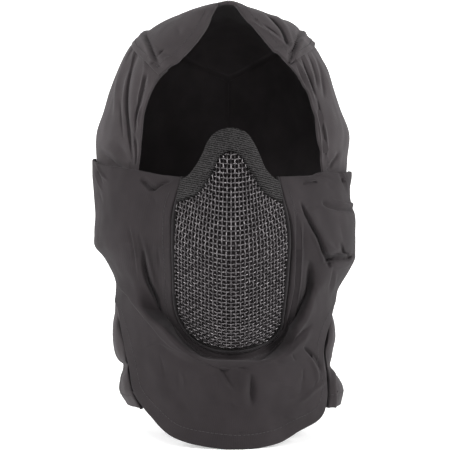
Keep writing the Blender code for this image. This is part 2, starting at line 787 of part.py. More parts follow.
CENTRE = Vector((0, 0, -0.5 * HOOD_DROP))
balaclava = collection("mesh_mask_balaclava")
hood_cloth = material("hood_cloth", (0.060, 0.054, 0.057), 0.85)
wrap_cloth = material("wrap_cloth", (0.060, 0.054, 0.057), 0.85)
binding_cloth = material("binding_cloth", (0.012, 0.012, 0.013), 0.8)
mesh_steel = material("mesh_steel", (0.035, 0.035, 0.037), 0.4, 1.0)
pad_fabric = material("pad_fabric", (0.035, 0.036, 0.037), 0.75)

make_crown_panel(hood_cloth, balaclava)
make_side_panel(LEFT, hood_cloth, balaclava)
make_side_panel(RIGHT, hood_cloth, balaclava)
make_face_wrap(wrap_cloth, balaclava)
make_neck_band(wrap_cloth, balaclava)
make_mesh_screen(mesh_steel, balaclava)
make_mesh_binding(binding_cloth, balaclava)
make_nose_pad(pad_fabric, balaclava)
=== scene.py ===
"""Looks of the mesh mask balaclava: hood, face wrap, woven mesh, binding and nose pad, each built
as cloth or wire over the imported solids. Metres, +Z up, the face looks to -Y."""

import math

import bmesh
import bpy
import numpy as np
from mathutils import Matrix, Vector, noise


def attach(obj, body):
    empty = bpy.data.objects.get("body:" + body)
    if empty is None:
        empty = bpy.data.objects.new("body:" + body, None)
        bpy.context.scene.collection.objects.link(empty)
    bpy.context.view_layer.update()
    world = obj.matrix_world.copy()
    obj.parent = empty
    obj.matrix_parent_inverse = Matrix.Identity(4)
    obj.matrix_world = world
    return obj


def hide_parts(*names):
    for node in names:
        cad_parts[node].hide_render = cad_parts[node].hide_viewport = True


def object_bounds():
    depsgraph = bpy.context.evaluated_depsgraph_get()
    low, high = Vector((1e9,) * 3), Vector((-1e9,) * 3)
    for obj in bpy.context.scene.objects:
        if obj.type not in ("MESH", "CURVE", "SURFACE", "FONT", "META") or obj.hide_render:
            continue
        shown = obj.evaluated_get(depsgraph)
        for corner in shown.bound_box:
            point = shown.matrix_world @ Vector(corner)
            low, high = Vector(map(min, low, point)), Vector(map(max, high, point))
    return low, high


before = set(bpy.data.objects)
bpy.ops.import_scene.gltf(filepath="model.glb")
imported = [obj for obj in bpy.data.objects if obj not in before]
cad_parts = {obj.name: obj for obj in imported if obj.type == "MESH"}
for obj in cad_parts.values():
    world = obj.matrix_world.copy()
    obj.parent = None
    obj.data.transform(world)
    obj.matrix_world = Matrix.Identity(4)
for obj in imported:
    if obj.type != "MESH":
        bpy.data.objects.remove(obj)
CAD_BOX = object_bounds()

# Cloth
CLOTH_WALL = 0.0015
FIT_GAP = 0.0003
SEAM_GAP = 0.0006

# Hood, on its outer face
HOOD_HALF_WIDTH = 0.093
HOOD_FRONT = 0.086
HOOD_BACK = 0.107
HOOD_DROP = 0.280
FACE_HALF_WIDTH = 0.0617
PEAK_DROP = 0.0052
SEAM_DROP = 0.055
SEAM_LAP = 0.0080
SEAM_RISE = 0.0030
SEAM_TUCK = 0.0045
# Outward is away from the middle of the hood
CENTRE = Vector((0, 0, -0.5 * HOOD_DROP))

# Face wrap, on its outer face
WRAP_TOP_DROP = 0.1075
WRAP_DROP = 0.1925
WRAP_FORWARD = 0.042
WRAP_HOLLOW = 0.11
NECK_BAND_BACK_DROP = 0.118
NECK_BAND_BACK_HEIGHT = 0.064

# Mesh mask
MASK_HALF_WIDTH = 0.036
MASK_TOP_DROP = 0.1064
MASK_HEIGHT = 0.1290
MASK_FORWARD = 0.0435
MASK_SAG = 0.0255
MASK_BOW = 2.2
MASK_SIDE_SHIFT = 0.0013
MESH_BAR = 0.0014
BINDING_RADIUS = 0.0012
BINDING_GAP = 0.0007
PAD_THICKNESS = 0.0040
PAD_CROWN = 0.0010
EDGE_POINTS = 401
# The spine of the mask is found in this many rounds, its slope over this share of the height
SPINE_ROUNDS = 6
SLOPE_STEP = 0.01
# A path is smoothed in this many rounds, with this many points for each given one
PATH_ROUNDS = 2
PATH_FINE = 8

LEFT = -1
RIGHT = 1
EPSILON = 1e-12


def table(columns, *rows):
    """Columns by name, each as an array."""
    return {name: np.array([row[i] for row in rows], float) for i, name in enumerate(columns.split())}


# Hood sections from the crown down: drop as a share of HOOD_DROP, left and right of
# HOOD_HALF_WIDTH, front of HOOD_FRONT, back and middle (where it is widest) of HOOD_BACK
HOOD = table(
    "drop left right front back middle",
    (0, 0, 0, -0.23, 0.19, 0.19), (0.006, 0.08, 0.08, 0.35, 0.34, 0.15),
    (0.016, 0.15, 0.13, 0.72, 0.47, 0.12), (0.031, 0.35, 0.28, 0.84, 0.6, 0.08),
    (0.052, 0.51, 0.45, 0.87, 0.7, 0.04), (0.077, 0.63, 0.56, 0.9, 0.79, 0),
    (0.104, 0.725, 0.64, 0.93, 0.85, 0), (0.142, 0.795, 0.71, 0.97, 0.9, 0),
    (0.182, 0.85, 0.75, 0.99, 0.945, 0), (0.217, 0.89, 0.79, 1, 0.97, 0),
    (0.27, 0.94, 0.85, 1, 0.99, 0), (0.325, 0.995, 0.91, 0.97, 1, 0), (0.385, 1, 0.9, 0.95, 0.985, 0),
    (0.43, 0.985, 0.89, 0.94, 0.965, 0), (0.5, 0.955, 0.87, 0.93, 0.92, 0),
    (0.577, 0.95, 0.86, 0.93, 0.86, 0), (0.64, 0.865, 0.825, 0.93, 0.79, 0),
    (0.693, 0.795, 0.76, 0.93, 0.74, 0), (0.733, 0.845, 0.76, 0.93, 0.7, 0),
    (0.783, 0.86, 0.775, 0.93, 0.68, 0), (0.834, 0.87, 0.807, 0.93, 0.68, 0),
    (0.877, 0.855, 0.785, 0.93, 0.7, 0), (0.914, 0.8, 0.778, 0.93, 0.71, 0),
    (0.938, 0.815, 0.836, 0.93, 0.727, 0), (0.963, 0.825, 0.868, 0.93, 0.744, 0),
    (1, 0.77, 0.852, 0.93, 0.77, 0),
)

# Edge of the face opening: drop as a share of HOOD_DROP, half widths of FACE_HALF_WIDTH
OPENING = table(
    "drop left right",
    (0.0186, 0, 0), (0.0215, 0.1, 0.05), (0.028, 0.145, 0.09), (0.038, 0.172, 0.12),
    (0.053, 0.2, 0.167), (0.07, 0.23, 0.235), (0.089, 0.275, 0.32), (0.113, 0.352, 0.41),
    (0.137, 0.447, 0.5), (0.165, 0.57, 0.635), (0.196, 0.745, 0.765), (0.233, 0.855, 0.87),
    (0.28, 0.935, 0.94), (0.34, 0.97, 0.985), (0.412, 1.005, 1.035), (0.577, 1, 1.03),
    (0.791, 0.92, 0.95), (1, 0.85, 0.85),
)

# Seam between crown and sides, from the face (0) round to the back (1): shares of SEAM_DROP
SEAM = table(
    "around left right",
    (0, 0.85, 0.7), (0.2, 0.58, 0.52), (0.42, 0.36, 0.36), (0.6, 0.37, 0.37), (0.8, 0.52, 0.52),
    (1, 0.8, 0.8),
)

# Wrap sections from its top edge down: drop as a share of WRAP_DROP, left and right of
# HOOD_HALF_WIDTH, forward of WRAP_FORWARD
WRAP = table(
    "drop left right forward",
    (0, 1.01, 0.905, 0.53), (0.06, 1.005, 0.905, 0.6), (0.16, 0.99, 0.9, 0.86),
    (0.19, 0.985, 0.925, 0.92), (0.275, 0.995, 0.937, 1), (0.32, 0.99, 0.937, 1),
    (0.36, 0.92, 0.93, 1), (0.4, 0.87, 0.89, 1), (0.435, 0.835, 0.85, 0.98), (0.48, 0.835, 0.8, 0.93),
    (0.52, 0.86, 0.79, 0.88), (0.58, 0.885, 0.805, 0.72), (0.67, 0.895, 0.83, 0.5),
    (0.75, 0.885, 0.825, 0.4), (0.85, 0.87, 0.815, 0.35), (1, 0.86, 0.81, 0.43),
)

# Outline of the wrap's front against its U edge: along the U from top left to top right,
# turn from the middle of the front (0) to the ear (1), drop as a share of WRAP_DROP
OUTLINE = table(
    "along turn drop",
    (0, -1, 0.004), (0.065, -1, 0.082), (0.13, -1, 0.2), (0.19, -1, 0.286), (0.24, -1, 0.34),
    (0.29, -1, 0.395), (0.335, -1, 0.455), (0.358, -0.88, 0.495), (0.378, -0.73, 0.54),
    (0.402, -0.645, 0.631), (0.432, -0.587, 0.758), (0.45, -0.55, 0.835), (0.466, -0.44, 0.905),
    (0.482, -0.29, 0.97), (0.5, 0, 1), (0.522, 0.26, 0.99), (0.545, 0.42, 0.953), (0.572, 0.6, 0.916),
    (0.605, 0.66, 0.85), (0.65, 0.61, 0.735), (0.69, 0.62, 0.65), (0.72, 0.74, 0.57), (0.755, 1, 0.48),
    (0.8, 1, 0.41), (0.85, 1, 0.335), (0.9, 1, 0.24), (0.95, 1, 0.15), (1, 1, 0.05),
)

# Along the U: where the crest of the cowl is and the inner rows of the cloth end, how far the cloth
# lies on the mask's surface (hold), and where it has left it (free), all as shares of the way out
COWL = table(
    "along crest_at hold free",
    (0, 0.4, 0, 0.45), (0.12, 0.55, 0, 0.45), (0.2, 0.66, 0.04, 0.45), (0.26, 0.85, 0.09, 0.45),
    (0.3, 0.76, 0.09, 0.4), (0.32, 0.5, 0.09, 0.37), (0.34, 0.35, 0.09, 0.33),
    (0.38, 0.23, 0.07, 0.26), (0.42, 0.155, 0.05, 0.2), (0.46, 0.105, 0.04, 0.155),
    (0.5, 0.085, 0.035, 0.14), (0.56, 0.092, 0.035, 0.15), (0.62, 0.095, 0.05, 0.2),
    (0.66, 0.136, 0.1, 0.3), (0.7, 0.2, 0.2, 0.46), (0.74, 0.14, 0.14, 0.42), (0.78, 0.1, 0.1, 0.42),
    (0.85, 0.09, 0.04, 0.45), (1, 0.09, 0, 0.45),
)

# Stations along the U, closer together where the bib turns: count share, place along
STATIONS = table(
    "count along",
    (0, 0), (0.3, 0.35), (0.45, 0.46), (0.55, 0.53), (0.72, 0.66), (1, 1),
)

# Sections of the mask down its middle: drop from its top as a share of MASK_HEIGHT,
# forward of MASK_FORWARD, sag of MASK_SAG
MASK = table(
    "drop forward sag",
    (-0.21, 0.14, 1.1), (-0.12, 0.34, 1.1), (0, 0.62, 1.1), (0.11, 0.83, 1.07), (0.24, 0.96, 1.03),
    (0.42, 1, 1), (0.5, 1, 1), (0.54, 0.98, 1), (0.61, 0.89, 1), (0.7, 0.74, 1), (0.8, 0.57, 1),
    (0.86, 0.46, 1), (0.92, 0.34, 1), (1, 0.14, 1), (1.1, -0.12, 1),
)

# Outline of the mesh: drop as a share of MASK_HEIGHT, half widths of MASK_HALF_WIDTH
MESH = table(
    "drop left right",
    (0, 0, 0), (0.022, 0.17, 0.15), (0.081, 0.27, 0.28), (0.127, 0.36, 0.387), (0.183, 0.486, 0.5),
    (0.221, 0.63, 0.65), (0.241, 0.81, 0.77), (0.257, 0.945, 0.885), (0.316, 0.985, 0.955),
    (0.412, 1, 1), (0.579, 1, 0.99), (0.699, 0.995, 0.962), (0.769, 0.985, 0.936), (0.843, 0.93, 0.91),
    (0.897, 0.83, 0.88), (0.948, 0.67, 0.74), (0.981, 0.46, 0.5), (1, 0, 0),
)

# Side of the mask beside the nose pad, above the mesh's own side
MASK_SIDE = table(
    "drop left right",
    (0.127, 0.845, 0.808), (0.191, 0.888, 0.848), (0.257, 0.945, 0.9),
)

# Outer edge of the nose pad from its left foot over the nose to its right foot: across as a
# share of MASK_HALF_WIDTH, drop of MASK_HEIGHT
PAD_EDGE = table(
    "across drop",
    (-0.853, 0.134), (-0.79, 0.126), (-0.7, 0.104), (-0.594, 0.063), (-0.493, 0.01), (-0.414, -0.044),
    (-0.306, -0.089), (-0.02, -0.12), (0.27, -0.095), (0.387, -0.049), (0.495, 0.017), (0.594, 0.083),
    (0.7, 0.119), (0.765, 0.135), (0.82, 0.144),
)


def smooth(at, places, values):
    """Smooth curve through (places, values), level beyond its ends."""
    at = np.clip(at, places[0], places[-1])
    slopes = np.gradient(values, places)
    i = np.clip(np.searchsorted(places, at, side="right") - 1, 0, len(places) - 2)
    step = places[i + 1] - places[i]
    t = (at - places[i]) / step
    a = (1 + 2 * t) * (1 - t) ** 2 * values[i] + t * t * (3 - 2 * t) * values[i + 1]
    b = t * (1 - t) ** 2 * slopes[i] - t * t * (1 - t) * slopes[i + 1]
    return a + b * step


def read(rows, column, at, key="drop"):
    return smooth(np.asarray(at, float), rows[key], rows[column])


def side_name(side):
    return "left" if side < 0 else "right"


def ramp(x):
    """0 to 1 with level ends."""
    x = np.clip(x, 0, 1)
    return x * x * (3 - 2 * x)


def bump(x, width):
    return np.exp(-((x / width) ** 2))


def unit(vectors):
    """Vectors with length 1, along the last axis."""
    return vectors / np.maximum(np.linalg.norm(vectors, axis=-1, keepdims=True), EPSILON)


def lengths(points):
    """How far each point of a line, or of each row of a grid, is from the first one along it."""
    step = np.linalg.norm(np.diff(points, axis=-2), axis=-1)
    return np.concatenate([np.zeros((*step.shape[:-1], 1)), np.cumsum(step, axis=-1)], axis=-1)


def normals(grid):
    """Unit normals of a grid of points, outward."""
    n = unit(np.cross(np.gradient(grid, axis=0), np.gradient(grid, axis=1)))
    away = np.sum(n * (grid - np.array(CENTRE)), axis=2).sum()
    return n if away > 0 else -n


# Surfaces


def hood_points(side, turn, share):
    """Outer face of the hood: turn 0 is the front, pi the back."""
    width = HOOD_HALF_WIDTH * read(HOOD, side_name(side), share)
    middle = HOOD_BACK * read(HOOD, "middle", share)
    front = HOOD_FRONT * read(HOOD, "front", share) + middle
    back = HOOD_BACK * read(HOOD, "back", share) - middle
    reach = np.where(turn < math.pi / 2, front, back)
    x = side * width * np.sin(turn)
    y = middle - reach * np.cos(turn)
    z = CLOTH_WALL - HOOD_DROP * share + 0 * turn
    return np.stack([x, y, z], axis=-1)


def opening_turn(side, share):
    width = HOOD_HALF_WIDTH * read(HOOD, side_name(side), share)
    half = FACE_HALF_WIDTH * read(OPENING, side_name(side), share)
    return np.arcsin(np.clip(half / np.maximum(width, EPSILON), 0, 1))


def seam_share(side, around):
    return (SEAM_DROP / HOOD_DROP) * read(SEAM, side_name(side), around, "around")


def wrap_half_width(side, drop):
    name = side_name(side)
    share = read(WRAP, name, (drop - WRAP_TOP_DROP) / WRAP_DROP)
    return HOOD_HALF_WIDTH * share + CLOTH_WALL + FIT_GAP


def wrap_width_at(place, drop):
    """Half width of the wrap on the side of a place, which is less than 0 on the left."""
    return np.where(place < 0, wrap_half_width(LEFT, drop), wrap_half_width(RIGHT, drop))


def wrap_depth(drop):
    share = read(WRAP, "forward", (drop - WRAP_TOP_DROP) / WRAP_DROP)
    return HOOD_FRONT + WRAP_FORWARD * share


def wrap_points(turn, drop):
    """Outer face of the wrap's front: turn from -pi/2 at the left ear to pi/2 at the right."""
    x = wrap_width_at(turn, drop) * np.sin(turn)
    y = -wrap_depth(drop) * np.cos(turn) * (1 - WRAP_HOLLOW * np.sin(2 * turn) ** 2)
    return np.stack([x, y, -drop + 0 * turn], axis=-1)


def bow(x):
    """How far the mask has bent back at a place across it, as a share of the bend at its side."""
    return np.log(np.cosh(MASK_BOW * x / MASK_HALF_WIDTH)) / math.log(math.cosh(MASK_BOW))


def mask_points(x, drop):
    """Mask surface where the front view shows x (from the mask's middle) at this drop."""
    spine = np.asarray(drop, float)
    for _ in range(SPINE_ROUNDS):
        share = (spine - MASK_TOP_DROP) / MASK_HEIGHT
        ahead = read(MASK, "forward", share + SLOPE_STEP) - read(MASK, "forward", share - SLOPE_STEP)
        slope = -MASK_FORWARD * ahead / (2 * SLOPE_STEP * MASK_HEIGHT)
        sag = MASK_SAG * read(MASK, "sag", share) * bow(x)
        length = np.sqrt(1 + slope**2)
        spine = drop + sag * slope / length
    share = (spine - MASK_TOP_DROP) / MASK_HEIGHT
    y = -(HOOD_FRONT + MASK_FORWARD * read(MASK, "forward", share)) + sag / length
    return np.stack([x + MASK_SIDE_SHIFT, y, -drop + 0 * x], axis=-1)


def mask_drop(share):
    return MASK_TOP_DROP + MASK_HEIGHT * share


def path(points, count):
    """A smooth path through points, as count points evenly spaced along it."""
    points = np.array(points, float)
    for _ in range(PATH_ROUNDS):
        length = lengths(points)
        at = np.linspace(0, length[-1], max(count, PATH_FINE * len(points)))
        points = np.stack([smooth(at, length, column) for column in points.T], axis=1)
    length = lengths(points)
    at = np.linspace(0, length[-1], count)
    return np.stack([np.interp(at, length, column) for column in points.T], axis=1)


def mask_sides(rows):
    """Both sides of a table of half widths as x and drop in the front view, each from the top down."""
    drops = [mask_drop(d) for d in rows["drop"]]
    left = [(-MASK_HALF_WIDTH * s, d) for s, d in zip(rows["left"], drops)]
    return left, [(MASK_HALF_WIDTH * s, d) for s, d in zip(rows["right"], drops)]


def mask_edge(offset, count):
    """The mask's U edge as x and drop in the front view, moved outward over the mask by offset."""
    below = MESH["drop"] > MASK_SIDE["drop"][-1]
    upper_left, upper_right = mask_sides(MASK_SIDE)
    left, right = mask_sides({name: column[below] for name, column in MESH.items()})
    line = path(upper_left + left + (upper_right + right[:-1])[::-1], EDGE_POINTS)
    tangent = unit(np.gradient(line, axis=0))
    out = offset * np.stack([-tangent[:, 1], tangent[:, 0]], axis=1)
    moved = mask_points(*(line + out).T) - mask_points(*line.T)
    return path(line + out * offset / np.linalg.norm(moved, axis=1)[:, None], count)


def wrap_grid(along, rows):
    """Points of the wrap's front for station shares along and rows outward: 0 is the U edge, 1 the
    end of its inner rows, 2 the outline."""
    edge = mask_edge(MESH_BAR / 2 + 2 * BINDING_GAP + 2 * BINDING_RADIUS, EDGE_POINTS)
    places = np.linspace(0, 1, len(edge))
    inner_drop = np.interp(along, places, edge[:, 1])
    inner = mask_points(np.interp(along, places, edge[:, 0]), inner_drop)
    inner_turn = np.arcsin(inner[:, 0] / wrap_width_at(inner[:, 0], inner_drop))
    outer_turn = np.clip(read(OUTLINE, "turn", along, "along"), -1, 1) * math.pi / 2
    outer_drop = WRAP_TOP_DROP + WRAP_DROP * read(OUTLINE, "drop", along, "along")
    crest = read(COWL, "crest_at", along, "along")[:, None]
    rows = np.asarray(rows, float)[None, :]
    t = np.where(rows < 1, rows * crest, crest + (1 - crest) * (rows - 1))
    turn = inner_turn[:, None] * (1 - t) + outer_turn[:, None] * t
    drop = inner_drop[:, None] * (1 - t) + outer_drop[:, None] * t
    grid = wrap_points(turn, drop)
    off = inner[:, 1] - wrap_points(inner_turn, inner_drop)[:, 1]
    hold = read(COWL, "hold", along, "along")[:, None]
    free = read(COWL, "free", along, "along")[:, None]
    grid[..., 1] += off[:, None] * (1 - ramp((t - hold) / (free - hold)))
    return grid


# Folds

# The front view: a picture plane 90 mm ahead of the origin, in units of 0.66 mm, drawn from 1.49 m
EYE = Vector((-0.0026, -1.49, -0.154))
UNIT = 0.00066
PLANE = 1.40
MIDDLE = 225

# Each fold has its height in millimetres (less than 0 is a groove), its width before and after its
# line in front view units (after is the viewer's right of a line that runs down), how far its top
# leans over the side before, in millimetres, and its line: points as across,down,weight. A weight
# that isn't written is 1. A fold that leans None is pressed straight back.
CROWN_FOLDS = [
    (-1.5, 4, 4, 0, "303,29,0 308,34 312,41 315,50,0"),
    (-1.2, 4, 4, 0, "145,31,0 139,35 133,42 128,52,0"),
    (-5, 1.1, 1.8, None, "145.5,33,0.5 148.5,41 152,49 155,56 157.5,61,0.7 160,66,0"),
    (0.9, 2.4, 2, 0, "140,33,0.6 145,43 149,52 152,60,0.8 155,67,0"),
    (-3, 1.1, 1.1, None, "150,62,0 154,63.5 158,66 163,67,0"),
    (-2.2, 1, 1, None, "158,57,0 161,53 165,49,0"),
    (0.6, 1.1, 1.1, 0, "160,61,0 168,58 176,57.5,0.6 182,55,0"),
    (-6, 1.1, 1.4, None, "301.5,28,0 299.5,33,0.7 298,37 296.5,40 294,47 291,53 289,59,0.7 287,64,0"),
    (0.9, 2.4, 2.4, 0, "306,32,0.6 302.5,41 299,49 296,56,0.8 293,62,0"),
    (-6.5, 1.1, 1.3, None, "263,12,0 269,17,0.6 274,22 279,28 282.5,34 285,40,0.9 287.5,46,0"),
    (1.3, 2, 2.4, 0, "272,15,0 278,20,0.8 284,27 288,34,0.8 291,41,0.6 294,47,0"),
    (1, 3, 3, 0, "281,19,0 288,24 295,30 299,35,0"),
    (0.8, 1.3, 1.3, 0, "249,19,0 257,25 266,31,0.9 275,37,0.8 283,43,0.8 289,49,0"),
    (-2.6, 1.2, 1.2, None, "262,24,0 268,28 275,33,0.8 281,38,0"),
    (-0.9, 3, 3, 0, "176,26,0 179,31 178,37,0"),
    (0.5, 2, 2, 0, "212,9,0 209,14 206,20,0.6 202,26,0"),
    (0.4, 5, 5, 0, "170,34,0 185,30 200,24,0"),
]
SIDE_FOLDS_LEFT = [
    (1.6, 1.8, 2.6, 0, "133,43,0.2 130,51,0.7 125.5,61 122,71 118.5,83 117,95 116,106,0.7 114,117,0"),
    (-2.4, 1, 1, None, "135,44,0.3 132,51 129,58,0.7 127,64,0"),
    (0.8, 0.9, 0.9, 0, "137,45,0.3 135,50 132.5,56,0.8 131,62,0"),
    (-5, 1.3, 1.7, None,
     "137.5,49,0.2 134.5,57,0.8 132,67,0.9 130,77 128.5,88 127.7,100 127.7,112 128.7,124,0.9 "
     "129.8,135,0.8 131,146,0.5 132.5,157,0.2"),
    (0.9, 1.6, 1.3, 0, "128,70,0 126,82,0.8 124.8,94 124.5,106,0.7 125,118,0"),
    (-2, 1, 1, None, "120.5,97,0 121,108 121.7,120,0.9 122.5,131,0.6 123,140,0"),
    (0.8, 3, 3.5, 0, "137,68,0 134.5,82 133,98 132.5,114,0.6 133,128,0"),
    (-3, 1.1, 1.3, None, "138.5,51,0 136.5,57 134.8,64,0.6 133.5,72,0"),
    (1.3, 1.2, 1.3, 0, "142,54,0 145,61,0.7 145.3,69 143.3,78 141.2,88 138.8,98,0.8 138,105,0"),
    (-3.6, 1.1, 1.3, None,
     "147,73,0 145.2,81 143.2,90 141,99 138.8,107 137,115,0.9 136,125,0.6 135.2,136,0"),
    (1, 0.9, 0.9, 0, "141,105,0 139.7,112 138.5,119 137.8,127,0"),
    (0.8, 1, 1.3, 0, "146,64,0 148,72 148.6,80,0.8 148,88,0"),
    (-2, 1, 1, None, "134.5,134,0 136,142 136.8,152,0.8 136.5,163,0.5"),
    (0.6, 1, 1, 0, "132,134,0 133.8,144 134.8,154,0.8 134.8,164,0.5"),
    (1.2, 5, 5, 0, "99,138,0 106,148,0.8 114,156 122,163 126,168,0.5"),
    (-2.7, 3.5, 5, 0, "99,152,0 105,157,0.8 111,162 120,168"),
    (-1.5, 5, 4, 0, "113,140,0 119,147 125,155,0.7 129,162,0"),
]
SIDE_FOLDS_RIGHT = [
    (-3.4, 1, 1.4, None, "310,40,0.2 314,46 317.5,52 320,59,0.5 321.5,66,0"),
    (-4.6, 1.3, 1.7, None, "315,54,0.1 318,62,0.9 320.7,72 322.3,82 323.3,91,0.8 323.5,99,0"),
    (1.2, 1.3, 1.3, 0, "311,52,0.2 314.5,62 317,72 318.8,82,0.9 320,92,0"),
    (-2.9, 1, 1, None, "307,53,0.2 310.5,61 313.3,70 315.5,80,0.8 317,90,0"),
    (1.3, 1, 1, 0, "303.5,55,0.4 306.3,62 309,69.5 311.7,78,0.9 314,88,0"),
    (-3.4, 1, 1.1, None, "301,58,0.4 303.5,65 307,74 310.5,83 313.7,91,0.8 317,99,0"),
    (1.1, 1, 1, 0, "297.5,62,0.3 301.3,69 305,77 309,86,0.9 313,96,0.5 316,104,0"),
    (-1.5, 0.9, 0.9, 0, "297,66,0.3 301,74 304.5,82,0.8 308,91,0"),
    (0.9, 3, 5, 0, "324,60,0 326.5,72 328.5,86 331,100,0.5 334,112,0"),
    (-2.4, 1, 1.1, None, "316.5,96,0 318.5,106 320.5,117 322.7,129 324.5,141,0.8 325,153,0.5 324.5,164,0"),
    (0.8, 0.9, 0.9, 0, "315,108,0 317.3,118 319.7,129 321.2,141,0.9 321.8,154,0.8 321.8,166,0.5"),
    (0.8, 1, 1.2, 0, "323.5,120,0 326,132 327.3,144 327,156,0.4 326,164,0"),
    (-4, 1.1, 1.6, None, "339,152,0 335.5,157 332,162 329.5,167,0.8 327,171,0"),
    (0.9, 1.6, 1.2, 0, "337,151,0 333,156 329.5,161 327,166,0"),
    (0.7, 3, 3, 0, "346,146,0 342,154 339,162 338,170,0"),
]
SKIRT_FOLDS = [
    # room under the pouch of the wrap
    (-16, 2.6, 5.6, None,
     "320,262,0 328,260.3,0.9 335,259.6 341,259.6 347,258.6,0.9 352,255.5,0.5 356,251,0"),
    # the gap beside the bib's edge, left and right
    (-9, 1.5, 3.5, None,
     "112.5,290,0 115,303,0.2 118.5,318,0.5 122.5,334,0.9 126.2,348 127.9,360 129.6,372 132.2,384 "
     "136.2,396 142,406 149.5,416,0.8"),
    (-9, 3.5, 1.5, None,
     "330.5,302,0 329,318,0.4 327,333,0.9 325.4,345 325,357 326.2,368 327.6,379 328.3,392 328,404 "
     "326,414,0.8"),
    (1.3, 2.6, 3.4, 0, "114,312,0 115.5,325,0.8 116.5,340 118.5,352,0.7 121,360,0"),
    (-1.6, 2.6, 1.6, 0, "117,363,0.3 120,364 124,365 129,365.5,0.6"),
    (0.9, 3, 3, 0, "122,370,0 124,379 126,388 130,398,0"),
    (-0.9, 1.6, 1.6, 0, "120,318,0 121.5,333 124,348 126,358,0.5"),
    (1.3, 2, 2.4, 0, "329,302,0 331.5,318,0.8 332,332 331,343,0.8 329,352,0"),
    (-1.2, 1.5, 1.5, 0, "328,342,0 327.5,352 328.5,362 330,371,0.5 333,378,0"),
    (2.6, 1.3, 1.6, 0, "331,366,0 333,376,0.8 333,386 333.7,398 333.3,410,0.8 331,420,0.3"),
    (-0.9, 1.5, 1.5, 0, "330,378,0 330.6,390 330.6,402 329.6,413,0.6"),
    (-0.6, 1.3, 1.3, 0, "336,382,0 336.4,392 336,402,0.5 335,410,0"),
]
